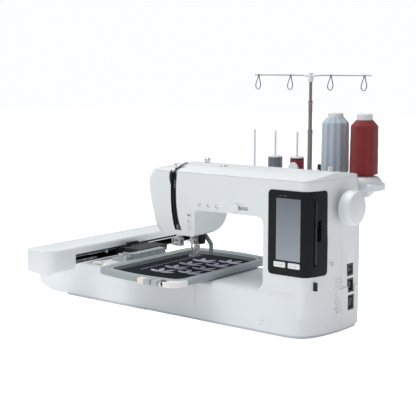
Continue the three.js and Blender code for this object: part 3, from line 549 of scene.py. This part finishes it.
# ---- hoop and arm -----------------------------------------------------------------------------
def many_boxes(name, body, slot, boxes, bevel=0.0, **more):
    """Several small blocks as one piece: (x0, x1, y0, y1, z0, z1) each."""
    points, faces = [], []
    for x0, x1, y0, y1, z0, z1 in boxes:
        base = len(points)
        points += [at(a, b, c) for a in (x0, x1) for b in (y0, y1) for c in (z0, z1)]
        faces += [tuple(base + i for i in face) for face in
                  ((0, 1, 3, 2), (4, 6, 7, 5), (0, 4, 5, 1), (2, 3, 7, 6), (0, 2, 6, 4), (1, 5, 7, 3))]
    return piece(name, mesh_of(name, points, faces), body, slot, bevel=bevel * MM, **more)


def make_hoop_details():
    hoop = "hoop_carriage"
    marks = [(x, x + (4.2 if k % 5 == 0 else 2.6), y - 0.25, y + 0.25, 100.9, 101.12)
             for k, y in enumerate(range(-120, 90, 10)) for x in (-135.5, 79.5)]
    marks += [(x - 0.25, x + 0.25, y, y + 3.0, 100.9, 101.12) for x in range(-90, 45, 15)
              for y in (-181.0, 142.0)]
    many_boxes("hoop_scale", hoop, "hoop_grey", marks, look="print_pale")
    arrows = [(-126.5, -125.4, -20.0, 0.0, 100.4, 100.75), (-129.0, -123.0, -11.0, -9.6, 100.4, 100.75)]
    many_boxes("hoop_centre_mark", hoop, "hoop_grey", arrows, look="print_grey")
    ribs = [(-139.2, -137.4, -60.0, 44.0, 110.2, 112.4), (-139.2, -137.4, -60.0, 44.0, 100.9, 102.4)]
    ribs += [(-139.2, -137.4, y, y + 3.0, 101.8, 110.6) for y in (-60.0, -34.5, -8.5, 17.5, 41.0)]
    ribs += [(-153.0, -140.0, y, y + 2.0, 112.6, 113.7) for y in (-55.0, -30.0, -4.0, 22.0, 38.0)]
    # The ribs take the lighter copy of the hoop grey that paints the inner ring's highlight.
    many_boxes("bracket_ribs", hoop, "hoop_grey", ribs, bevel=0.3, look="hoop_grey_lit")
    many_boxes("bracket_windows", hoop, "hoop_grey", [(-139.3, -138.8, -58.0, 42.0, 102.0, 110.6)],
               look="print_pale")
    # The latch takes the same lighter copy of the hoop grey, the painted highlight colour.
    many_boxes("bracket_latch", hoop, "hoop_grey", [(-167.0, -152.0, -77.5, -72.5, 108.5, 113.5),
                                                    (-165.0, -141.0, -66.0, -61.0, 108.5, 114.5),
                                                    (-149.0, -141.0, -79.0, -75.0, 97.0, 111.0)], bevel=0.8,
                                                    look="hoop_grey_lit")
    box("clamp_pad", hoop, "cream", (-1.4, 15.3), (-199.6, -185.0), (91.6, 102.9), 1.3)
    # The clamp blocks take the same lighter copy of the hoop grey, the painted highlight colour.
    box("clamp_block_left", hoop, "hoop_grey", (15.8, 30.3), (-199.5, -186.0), (91.6, 102.9), 1.2,
        look="hoop_grey_lit")
    box("clamp_block_right", hoop, "hoop_grey", (33.7, 49.8), (-199.5, -185.5), (91.6, 102.9), 1.2,
        look="hoop_grey_lit")
    lathe("screw_thread", "hoop_screw_body", "steel", (0, -193.5, 97.0),
          [(2.6 + (0.35 if k % 2 else 0.0), 30.6 + 0.25 * k) for k in range(13)], "X", 20)
    lathe("screw_knob", "hoop_screw_body", "steel", (0, -193.5, 97.0),
          [(0.0, 50.7), (4.1, 50.7), (4.8, 51.3), (4.8, 56.4), (4.2, 57.3), (2.2, 57.3), (2.0, 56.8),
           (0.0, 56.8)], "X", 48,
          wave=lambda ring, angle: 0.18 * math.cos(24 * angle) if 2 <= ring <= 3 else 0.0)
    lathe("lever_pivot", "hoop_lever_body", "black", (61.5, -191.0, 0),
          [(0.0, 91.8), (4.6, 91.8), (5.0, 92.4), (5.0, 102.2), (4.2, 103.0), (0.0, 103.0)], "Z", 28,
          look="liner")


def make_arm_details():
    arm = "arm_body"
    y0, y1 = -130.8, 275.6
    many_boxes("arm_slot_liner", arm, "black", [
        (-298.8, -242.6, y0, y1, 109.3, 109.9), (-298.8, -242.6, y0, y1, 90.6, 91.2),
        (-298.9, -298.2, y0, y1, 91.0, 109.5), (-298.8, -242.6, y0, y0 + 0.6, 91.0, 109.5),
        (-298.8, -242.6, y1 - 0.6, y1, 91.0, 109.5)], look="liner")
    many_boxes("arm_slot_strip", arm, "steel", [(-247.5, -246.3, y0 + 2, y1 - 2, 104.3, 105.7)], bevel=0.2,
               look="print_grey")
    many_boxes("arm_slot_plate", arm, "black", [(-249.5, -245.0, -127.0, -62.0, 91.6, 96.5)], bevel=0.4,
               look="print_grey")
    for k, y in enumerate((-101.0, -82.0)):
        lathe(f"arm_slot_screw_{k}", arm, "steel", (0, y, 94.2),
              [(0.0, -243.4), (1.5, -243.4), (2.1, -244.0), (2.1, -245.2), (0.0, -245.2)], "X", 18)
    box("arm_slot_clip", arm, "cream", (-252.0, -246.0), (-31.0, -27.0), (99.0, 106.0), 0.6)
    lathe("arm_mark", arm, "body_white", (-302.0, -166.0, 0),
          [(0.0, 127.7), (2.0, 127.7), (2.2, 128.05), (1.7, 128.1), (1.5, 127.95), (0.0, 127.9)],
          "Z", 20, look="print_pale")
    ring(arm, "arm_cap", rounded((-297.0, -262.0), (-166.0, -133.0), 9.0), 0.55, 127.8, 128.08)
    box("carriage_cover_lip", "hoop_carriage", "black", (-167.0, -162.0), (-8.0, 72.0), (112.0, 113.6), 0.6,
        look="graphite_matte")
    wedge = [(-236.0, -84.0), (-209.0, -84.0), (-222.0, -66.0)]
    plate("unit_catch", "machine_body", "cream", wedge, 85.7, 90.2, bevel=0.6)


def ring(body, name, outline, width, low, high, look="print_pale", axis="Z", slot="body_white"):
    """A thin raised line along a closed outline."""
    center = Vector((sum(p[0] for p in outline) / len(outline), sum(p[1] for p in outline) / len(outline)))
    inner = [tuple(center + (Vector(p) - center) * (1 - width / max((Vector(p) - center).length, 0.01)))
             for p in outline]
    lift = {"Z": lambda a, b, c: at(a, b, c), "Y": lambda a, b, c: at(a, c, b),
            "X": lambda a, b, c: at(c, a, b)}[axis]
    n = len(outline)
    points = [lift(*p, level) for level in (low, high) for loop in (outline, inner) for p in loop]
    faces = []
    for i in range(n):
        j = (i + 1) % n
        faces += [(i, j, 2 * n + j, 2 * n + i), (n + j, n + i, 3 * n + i, 3 * n + j),
                  (2 * n + i, 2 * n + j, 3 * n + j, 3 * n + i), (j, i, n + i, n + j)]
    made = mesh_of(name, points, faces)
    fix_normals(made)
    return piece(name, made, body, slot, look=look)


# ---- head and needle ----------------------------------------------------------------------------
def slot_edges(z):
    """x of the thread slot's left and right edges at a height."""
    if z > 300.0:
        return -14.0 + (z - 300.0) / 30.0, 1.0 + (z - 300.0) / 10.0
    t = (-40.0 + math.sqrt(1600.0 + 38.0 * (z - 182.0))) / 38.0
    blend = lambda a, b, c: (1 - t) ** 2 * a + 2 * t * (1 - t) * b + t * t * c
    return blend(-5.0, -21.0, -14.0), blend(12.5, -8.0, 1.0)


def make_head_details():
    heights = [182.5 + 2.5 * k for k in range(35)]
    left = [(slot_edges(z)[0] + 0.2, z) for z in heights]
    right = [(slot_edges(z)[1] - 0.2, z) for z in heights]
    plate("thread_slot_back", "machine_body", "black", left + right[::-1], -75.0, -74.4, axis="Y", bevel=0.0,
          look="graphite_matte")
    tall = [182.3 + 2.5 * k for k in range(47)]
    for side, k, inset in (("left", 0, 0.55), ("right", 1, -0.55)):
        strip = [(slot_edges(z)[k] + inset * 0.04, z) for z in tall] + [(slot_edges(z)[k] + inset, z)
            for z in reversed(tall)]
        plate(f"thread_slot_cheek_{side}", "machine_body", "black", strip, -79.8, -74.2, axis="Y", bevel=0.0,
              look="liner")
    rail = [(slot_edges(z)[0] + 4.2, z) for z in heights[4:]] + [(slot_edges(z)[0] + 6.4, z)
        for z in reversed(heights[4:])]
    plate("thread_slot_rail", "machine_body", "black", rail, -78.2, -75.0, axis="Y", bevel=0.3, look="liner")
    bulge = [(-13.6, 304.0), (-16.5, 301.0), (-18.6, 295.0), (-19.2, 288.0), (-18.4, 281.0), (-16.4, 275.0),
             (-14.6, 270.0), (-13.4, 278.0), (-13.2, 292.0)]
    plate("thread_slot_cover", "machine_body", "black", bulge, -80.5, -79.4, axis="Y", bevel=0.25, look="liner")
    many_boxes("thread_slot_tension_marks", "machine_body", "black",
               [(-9.6, -7.8, -75.2, -75.0, z, z + 3.2) for z in (266.0, 272.0, 278.0)], look="print_pale")
    many_boxes("thread_hook", "machine_body", "black", [(-2.0, 4.0, -79.6, -75.0, 184.5, 192.0),
        (6.5, 9.5, -79.0, -75.0, 184.0, 187.0)], bevel=0.7, look="print_grey")
    sweep("thread_slot_top", "machine_body", "black", [(-4, -78.5, 302.8), (-10, -62, 306.6), (-18, -40, 309.4),
                                                       (-27, -12, 311.2)], 1.5, 8, 6, 0.6,
          look="liner")
    for k, (x, z) in enumerate([(58, 238), (80, 238), (101, 238)]):
        many_boxes(f"arm_icon_{k}", f"arm_button_{('left', 'middle', 'right')[k]}_body", "button_white",
                   [(x - 2.6, x + 0.6, -81.75, -81.55, z + 0.7, z + 1.9),
                    (x - 0.6, x + 0.6, -81.75, -81.55, z - 1.8, z + 1.2),
                    (x + 0.2, x + 2.6, -81.75, -81.55, z - 2.0, z - 0.9)], look="print_grey")
    for name, z in (("upper", 215), ("middle", 202.5), ("lower", 190)):
        icon = {"upper": [(-3.4, -0.6, -2.0, 2.0), (0.6, 3.4, -2.0, 2.0)],
                "middle": [(-0.8, 0.8, -2.2, 2.2), (-3.0, -0.6, 0.8, 2.0)],
                "lower": [(-3.0, 0.4, 0.5, 1.5), (-0.2, 3.0, -1.6, -0.6)]}[name]
        many_boxes(f"needle_icon_{name}", f"needle_button_{name}_body", "button_white",
                   [(32 + a, 32 + b, -81.55, -81.38, z + c, z + d) for a, b, c, d in icon], look="print_grey")


def knurled(name, body, center, start, end, radius, axis="X"):
    """A small screw head with a knurled rim and a slot's recess."""
    span = end - start
    profile = [(0, start), (radius * 0.9, start), (radius, start + span * 0.15), (radius, start + span * 0.85),
               (radius * 0.9, end), (radius * 0.5, end), (radius * 0.45, end - span * 0.15),
               (0, end - span * 0.15)]
    return lathe(name, body, "steel", center, profile, axis, 36,
                 wave=lambda ring, angle: 0.15 * math.cos(18 * angle) if 2 <= ring <= 3 else 0.0)


def make_mechanism():
    frame_body, needle, presser = "machine_body", "needle_bar_body", "presser_body"
    box("threader_block", frame_body, "cream", (-69.5, -45.5), (-15.5, -1.5), (138.0, 151.5), 2.0,
        look="cap_white")
    box("threader_step", frame_body, "cream", (-66.0, -45.5), (-15.4, -1.6), (133.5, 139.5), 1.6, look="cream")
    many_boxes("threader_slots", frame_body, "cream", [(-66.0, -62.5, -15.9, -15.2, 141.0, 148.5),
                                                       (-59.0, -50.5, -15.9, -15.2, 144.6, 147.4),
                                                       (-59.0, -53.5, -15.8, -15.2, 135.4, 137.6),
                                                     (-46.0, -45.2, -12.5, -8.0, 141.0, 147.5)], bevel=0.2,
                                                     look="graphite_matte")
    knurled("threader_screw", frame_body, (0, -8.5, 137.0), -46.0, -43.4, 2.6)
    lathe("threader_rod", frame_body, "steel", (-58, -8, 0), [(0, 150), (3.15, 150), (3.15, 176), (0, 176)],
          "Z", 20)
    sweep("threader_hook", frame_body, "steel", [(-48, -10, 136), (-42, -7, 134.6), (-38, -5, 134.2),
                                                 (-35.6, -6.4, 134.4)], 0.7, 8)
    lathe("needle_clamp", needle, "steel", (-28, 5, 0), [(0, 140.6), (5.4, 140.6), (6.0, 141.4), (6.0, 151.5),
        (5.2, 153.0), (3.6, 154.2), (0, 154.2)], "Z", 28)
    knurled("needle_clamp_screw", needle, (0, 5, 147.6), -22.6, -16.2, 4.4)
    knurled("needle_bar_collar", needle, (-28, 5, 0), 158.0, 163.5, 4.9, "Z")
    sweep("needle_thread_guide", needle, "steel", [(-31, 0, 145), (-36, -3, 143), (-36, -6, 139.5),
                                                   (-30, -5, 139)], 0.8, 8)
    box("presser_clamp", presser, "steel", (-36.0, -20.5), (14.6, 24.4), (150.4, 160.5), 1.3)
    knurled("presser_clamp_screw", presser, (0, 19, 155.2), -44.6, -36.4, 3.8)
    lathe("presser_sleeve", presser, "steel", (-28, 20, 0),
          [(0, 160), (4.4, 160), (4.9, 161), (4.9, 169), (4.2, 170), (0, 170)], "Z", 24)
    box("foot_shank", presser, "steel", (-33.4, -22.6), (15.2, 23.6), (126.0, 149.8), 1.1)
    box("foot_neck", presser, "steel", (-31.0, -21.0), (11.6, 16.0), (131.0, 142.0), 1.0)
    knurled("foot_screw", presser, (0, 18.5, 141.5), -22.6, -15.6, 4.9)
    spring = [(-28 + 3.9 * math.cos(k * math.pi / 3), 19 + 3.9 * math.sin(k * math.pi / 3), 114.6 + 0.32 * k)
              for k in range(34)]
    sweep("foot_spring", presser, "steel", spring, 0.5, 6, 2)
    lathe("foot_pin", presser, "steel", (-28, 19, 0), [(0, 112.2), (2.4, 112.2), (2.4, 127), (0, 127)], "Z", 16)
    foot_ring = [(-28 + 7.2 * math.cos(k * math.pi / 9), 5 + 7.2 * math.sin(k * math.pi / 9), 112.7)
                 for k in range(19)]
    sweep("foot_ring", presser, "steel", foot_ring, 1.2, 8, 3, look="cap_white")
    sweep("foot_arm", presser, "steel", [(-28, 12, 113.2), (-28, 16, 115.0), (-22, 17, 119.5), (-20.6, 17, 128),
                                         (-21, 17, 134)], 1.9, 8, look="cream")
    sweep("foot_lever", presser, "steel", [(-22.4, 14, 131), (-19.4, 7, 139), (-18.6, 3, 146.5),
                                           (-22, 1.5, 147.4)], 1.25, 8)
    sweep("foot_link", presser, "steel", [(-34, 17, 147), (-37.5, 14, 140), (-37.5, 12, 131), (-34, 12, 122),
                                          (-31, 13, 115)], 1.25, 8)
    box("presser_guide", frame_body, "black", (-20.0, -9.0), (13.5, 25.4), (138.0, 176.0), 1.4, look="liner")
    box("presser_guide_plate", frame_body, "cast", (-46.0, -8.0), (9.6, 13.4), (163.0, 178.0), 1.0,
        look="graphite_matte")
    box("needle_guide_plate", frame_body, "cast", (-47.0, -10.0), (-6.0, -2.0), (166.0, 174.0), 1.0)
    sweep("upper_thread", needle, "steel", [(-29, -0.6, 140), (-28.6, 3.0, 131), (-28.2, 4.0, 123),
                                            (-28.2, 4.4, 118.5)], 0.22, 6, look="stitch")


# ---- panel and right side --------------------------------------------------------------------------
def make_panel_details():
    many_boxes("panel_marks", "machine_body", "graphite",
               [(250, 258, -81.75, -81.58, 272.0, 272.7), (262, 266, -81.75, -81.58, 271.6, 273.0)],
               look="print_grey")
    for k, x in enumerate((252.5, 284.5)):
        many_boxes(f"panel_icon_{k}", f"panel_button_{('left', 'right')[k]}_body", "button_white",
                   [(x - 7, x + 7, -82.55, -82.38, 141.6, 142.3),
                    (x + 4.2, x + 5.0, -82.55, -82.38, 139.8, 144.2)], look="print_pale")
    many_boxes("slider_scale", "machine_body", "body_white",
               [(x - 0.6, x + 0.6, -80.2, -79.95, 246.5, 248.7) for x in (148.0, 155.0, 162.0)],
               look="print_grey")
    many_boxes("slider_track", "machine_body", "tray_white", [(144.6, 177.4, -77.9, -77.4, 236.8, 243.2)],
               look="print_pale")
    lathe("knee_socket", "machine_body", "steel", (214, 0, 25),
          [(0, -84.2), (2.6, -84.3), (3.4, -85.1), (4.6, -85.35), (5.2, -85.1), (5.2, -84.5), (0, -84.0)], "Y",
          28)
    sweep("knee_mark", "machine_body", "body_white", [(228, -85.1, 28), (233, -85.1, 27.5), (236, -85.1, 24),
                                                      (235, -85.1, 19)], 0.3, 6, look="print_pale")


def wall_x(z):
    """x of the right side's surface at a height."""
    return 329.0 if z < 40 else 329.0 - 7.0 * (z - 40.0) / 170.0


def make_side_details():
    body = "machine_body"
    vents = []
    for row in range(10):
        z = 43.0 + 7.0 * row
        for column in range(5):
            y = 0.0 + 6.0 * column - (3.0 if row % 2 else 0.0)
            face = min(wall_x(z), side_x(y)) + 0.06
            vents.append((face - 0.5, face, y, y + 1.5, z, z + 4.6))
    many_boxes("side_vents", body, "body_white", vents, look="print_pale")
    face = wall_x(105)
    box("usb_port", body, "black", (face - 12.0, min(face, side_x(-60)) + 0.1), (-62.0, -58.5), (96.0, 112.0),
        0.3, look="liner")
    ring(body, "side_mark", rounded((-19.0, -12.0), (138.0, 146.0), 3.4), 0.4, side_x(-15) - 1.2,
         side_x(-15) + 0.1, axis="X")
    for k, (low, high) in enumerate(((80.0, 99.0), (113.0, 126.0))):
        many_boxes(f"socket_contact_{k}", body, "black", [(322.0, 324.4, y, y + 1.6, low + 3, high - 3)
            for y in (50.0, 54.0, 57.5)], bevel=0.2, look="print_grey")
    lathe("stand_screw", body, "steel", (0, 58, 291), [(0, 312.2), (6.4, 312.2), (7.0, 312.8), (7.0, 314.0),
                                                       (5.6, 314.3), (3.0, 314.3), (2.4, 313.4), (0, 313.4)],
                                                       "X", 28,
          look="graphite_matte")


def side_x(y):
    """x of the front-right corner's surface at a depth, below the top cover."""
    if y >= 20:
        return 329.0
    t = max(0.0, min(1.0, (y + 85.0) / 105.0))
    return 329.0 - 11.0 * (1 - t) ** 2.2


# ---- top of the machine ------------------------------------------------------------------------------
def make_top_details():
    body = "machine_body"
    lathe("tension_knob", body, "steel", (0, 20, 0), [(0, 309), (7.4, 309), (7.8, 309.6), (7.8, 310.6),
                                                      (3.0, 311), (3.0, 312.6), (6.2, 313), (6.6, 314),
                                                      (6.6, 319.4),
                                                   (5.8, 320.4), (2.0, 320.6), (0, 320.0)], "Z", 36)
    half = [(200 + 12 * math.cos(math.pi * k / 16), 307 + 15 * math.sin(math.pi * k / 16)) for k in range(17)]
    plate("thread_cutter_fin", body, "body_white", [(212, 302), *half, (188, 302)], 38.0, 43.0, axis="Y",
          bevel=1.2, look="cap_white")
    box("thread_guide_seat", body, "body_white", (16, 60), (14, 26), (306.5, 310.6), 1.4, look="cap_white")
    box("thread_guide_plate", body, "steel", (62, 77), (-22, -9), (307.5, 311.4), 1.0)
    lathe("thread_guide_stud", body, "steel", (70, -15, 0),
          [(0, 310), (3.4, 310), (3.6, 312.4), (2.6, 313.4), (0, 313.4)], "Z", 20)
    box("winder_seat", body, "body_white", (254, 309), (7, 33), (300.0, 306.0), 3.0, look="cap_white")
    lathe("winder_flange", "winder_body", "steel", (273, 20, 0),
          [(3.2, 306.4), (7.6, 306.6), (7.8, 307.6), (4.8, 308.6), (4.6, 312.8), (3.2, 312.8), (3.2, 306.4)],
          "Z", 30)
    lathe("winder_tip", "winder_body", "black", (273, 20, 0),
          [(3.1, 313.6), (3.45, 313.8), (3.45, 322.8), (2.4, 324.3), (0, 324.3)], "Z", 20, look="liner")
    lathe("winder_stop", body, "cream", (298, 20, 0), [(0, 304), (7.4, 304), (7.8, 305), (7.6, 311),
                                                       (5.0, 312.2), (4.6, 318.6), (5.4, 319.4), (5.0, 320.6),
                                                       (0, 321)], "Z", 30,
          wave=lambda ring, angle: 0.7 * math.cos(3 * angle) if ring <= 3 else 0.0)
    # A grey line along the lid's finger recess: painted shadow under the lid's raised lip.
    sweep("hatch_lip_painted_shadow", body, "body_white", [(262, -40, 305.2), (278, -46, 304.6), (298, -49, 303.6)], 0.7,
          6, 6, 0.5, look="print_grey")


# ---- thread packages -----------------------------------------------------------------------------------
def package(name, x, body, slot, low, high, foot, head, shoulder, slope, core, replaced):
    """A wound package: its thread body with a rounded foot and a sloping shoulder."""
    steps = 26
    profile = [(foot - 2.4, low), (foot - 0.8, low + 0.9), (foot, low + 3.0)]
    top = high - slope
    for k in range(1, steps):
        t = k / steps
        profile.append((foot + (head - foot) * t + 0.12 * math.sin(17.0 * t + x),
                        low + 3.0 + (top - low - 4.0) * t))
    profile += [(head, top - 1.0), (head - 0.4, top + 0.4), (head - 1.5, top + 1.6),
                (shoulder + 0.6, high - 0.5), (shoulder - 0.4, high), (core, high),
                (core, low), (foot - 2.4, low)]
    return lathe(name, body, slot, (x, STAND_Y, 0), profile, "Z", 56, replaced=[replaced])


MAST_X = 178.0
STAND_Y = 135.0          # the mast, the pins and the cones stand in one row
GUIDE_HEIGHT = 492.0
GUIDE_OFFSETS = (-131.0, -50.0, 47.0, 124.0)     # the four loops, from the mast


def make_stand():
    for node, x, slot, neck in (("cone_grey", 238.5, "thread_silver", 409.0),
                                ("cone_red", 305.0, "thread_red", 405.0)):
        package(node + "_winding", x, node + "_body", slot, 297.7, neck, 28.3, 27.1, 16.8, 11.5, 13.4, node)
        lathe(node + "_core", node + "_body", slot, (x, STAND_Y, 0),
              [(9.1, 297.6), (13.0, 297.6), (13.2, neck), (15.8, neck + 0.1), (15.8, 415.8), (14.8, 416.9),
                                                               (10.2, 416.9), (9.1, 415.4), (9.1, 297.6)], "Z",
                                                               48, look="cap_white")
    for node, x, slot, low, high, wound in (("spool_grey", 92.0, "thread_grey", 286.5, 323.0, 15.4),
                                            ("spool_crimson", 147.0, "thread_crimson", 286.5, 324.0, 14.6)):
        package(node + "_winding", x, node + "_body", slot, low + 3.2, high - 3.4, wound, wound, wound - 1.0,
                1.2, 6.4, node)
        radius = 16.0
        lathe(node + "_body_plastic", node + "_body", slot, (x, STAND_Y, 0),
              [(3.1, low + 0.1), (radius - 1, low + 0.1), (radius, low + 0.8), (radius, low + 2.6),
               (radius - 1, low + 3.1), (6.2, low + 3.2), (6.2, high - 3.3),
               (radius - 1, high - 3.1), (radius, high - 2.6), (radius, high - 0.8), (radius - 1, high - 0.1),
               (8, high + 0.2), (3.1, high + 0.6),
               (3.1, low + 0.1)], "Z", 48, look="cap_white")
    for name, x in (("grey", 238.5), ("red", 305.0)):
        lathe(f"cushion_{name}", "machine_body", "body_white", (x, STAND_Y, 0),
              [(0, 280.6), (37.2, 280.6), (37.2, 282.0), (36.0, 286.0), (30.0, 292.6), (20, 295.6), (8, 296.8),
                                                                        (3.2, 297.3), (0, 297.3)], "Z", 56,
                                                                        look="cap_white")
    mast = (MAST_X, STAND_Y, 0)
    lathe("mast_foot", "machine_body", "mast_nickel", mast,
          [(5.1, 292.8), (8.2, 292.8), (8.6, 293.6), (8.2, 297.5), (6.0, 299), (5.1, 299), (5.1, 292.8)], "Z",
          32)
    for name, body, z, inner, outer in (("mast_ring_low", "machine_body", 374.0, 4.35, 5.5),
                                        ("mast_ring_high", "mast_middle_body", 434.0, 3.45, 4.5)):
        lathe(name, body, "mast_nickel", mast, [(inner, z), (outer - 0.3, z), (outer, z + 0.8),
                                                (outer, z + 5.0), (outer - 0.4, z + 6.2), (inner, z + 6.2),
                                                (inner, z)],
              "Z", 32)
    lathe("guide_hub", "guide_bar_body", "mast_nickel", mast,
          [(0, 478.6), (4.6, 478.6), (5.2, 479.6), (5.6, 484.0), (5.6, 494.4), (4.6, 496.8), (0, 496.8)], "Z",
          32,
          look="cap_white", replaced=["thread_guide_bar"])
    for side in (-1, 1):
        arm = [(MAST_X + side * reach, STAND_Y, GUIDE_HEIGHT - drop)
               for reach, drop in ((4.6, 1.2), (14, 0.6), (26, 0.2), (50, 0.0), (139.4, 0.0))]
        sweep(f"guide_arm_{side}", "guide_bar_body", "mast_nickel", arm, 1.25, 12)
        lathe(f"guide_boss_{side}", "guide_bar_body", "mast_nickel", (0, STAND_Y, GUIDE_HEIGHT - 1.0),
              [(0, MAST_X + side * 4.6), (3.6, MAST_X + side * 4.6), (3.2, MAST_X + side * 12), (1.3, MAST_X + side * 16),
               (0, MAST_X + side * 16)], "X", 24, look="cap_white")
    for k, offset in enumerate(GUIDE_OFFSETS):
        x = MAST_X + offset
        turns = ((-2.2, 1.4), (0.0, 2.0), (2.0, 0.4), (1.2, -3.0), (4.4, -13.0), (6.2, -21.0), (4.2, -27.2),
                 (0.0, -29.4), (-4.2, -27.2), (-6.2, -21.0), (-4.4, -13.0),
                 (-1.2, -3.0), (-2.0, 0.0), (-0.4, 2.2))
        sweep(f"guide_loop_{k}", "guide_bar_body", "mast_nickel",
              [(x + a, STAND_Y + 0.1 * (b + 12), GUIDE_HEIGHT - 0.4 + b) for a, b in turns], 1.05, 10)


REBUILT = ("embroidery_cloth", "thread_guide_bar", "cone_grey", "cone_red", "spool_grey", "spool_crimson")


def make_details():
    for build in (make_cloth, make_hoop_details, make_arm_details, make_head_details, make_mechanism,
                  make_panel_details, make_side_details,
                  make_top_details, make_stand):
        build()


# ---- stage --------------------------------------------------------------------------------
ROOM_LIGHT = 0.38
FLOOR_GLOW = 0.30
KEY_POWER = 34.0
FILL_POWER = 5.0


def area_light(name, place, aim, size, power, color=(1.0, 1.0, 1.0)):
    lamp = bpy.data.objects.new(name, bpy.data.lights.new(name, "AREA"))
    lamp.data.shape = "RECTANGLE"
    lamp.data.size, lamp.data.size_y = size
    lamp.data.energy = power
    lamp.data.color = color
    lamp.location = place
    lamp.rotation_euler = (Vector(aim) - Vector(place)).to_track_quat("-Z", "Y").to_euler()
    scene.collection.objects.link(lamp)


def add_stage():
    world = bpy.data.worlds.new("studio")
    world.use_nodes = True
    tree = world.node_tree
    background = tree.nodes["Background"]
    background.inputs["Color"].default_value = (0.97, 0.985, 1.0, 1.0)
    seen = tree.nodes.new("ShaderNodeLightPath")
    strength = tree.nodes.new("ShaderNodeMix")
    strength.inputs[2].default_value = ROOM_LIGHT
    strength.inputs[3].default_value = 1.0
    tree.links.new(seen.outputs["Is Camera Ray"], strength.inputs[0])
    tree.links.new(strength.outputs[0], background.inputs["Strength"])
    scene.world = world
    scene.view_settings.view_transform = "Standard"
    edge = 8.0
    floor_mesh = bpy.data.meshes.new("floor")
    floor_mesh.from_pydata([(-edge, -edge, 0.0), (edge, -edge, 0.0), (edge, edge, 0.0), (-edge, edge, 0.0)], [],
                           [(0, 1, 2, 3)])
    floor = bpy.data.objects.new("floor", floor_mesh)
    paper = Shader("floor_paper", (0.96, 0.96, 0.96), 0.7)
    paper.paint(paper.blend_color(paper.noise(3.0), (0.95, 0.95, 0.95), (0.98, 0.98, 0.98)))
    paper.bsdf.inputs["Emission Color"].default_value = (1.0, 1.0, 1.0, 1.0)
    seen = paper.node("ShaderNodeLightPath")
    glow = paper.node("ShaderNodeMix")
    glow.inputs[2].default_value = FLOOR_GLOW
    glow.inputs[3].default_value = 0.85
    paper.link(seen.outputs["Is Camera Ray"], glow.inputs[0])
    paper.link(glow.outputs[0], paper.bsdf.inputs["Emission Strength"])
    floor.data.materials.append(paper.material)
    scene.collection.objects.link(floor)
    area_light("key_top", (-0.3, -0.1, 2.0), (0.0, 0.0, 0.2), (2.0, 1.4), KEY_POWER)
    area_light("fill_front", (-1.0, -2.2, 1.0), (0.0, 0.0, 0.2), (1.6, 1.2), FILL_POWER)


add_camera()
add_stage()
make_details()
for node in frame["nodes"]:
    if node not in REBUILT:
        skin(node)
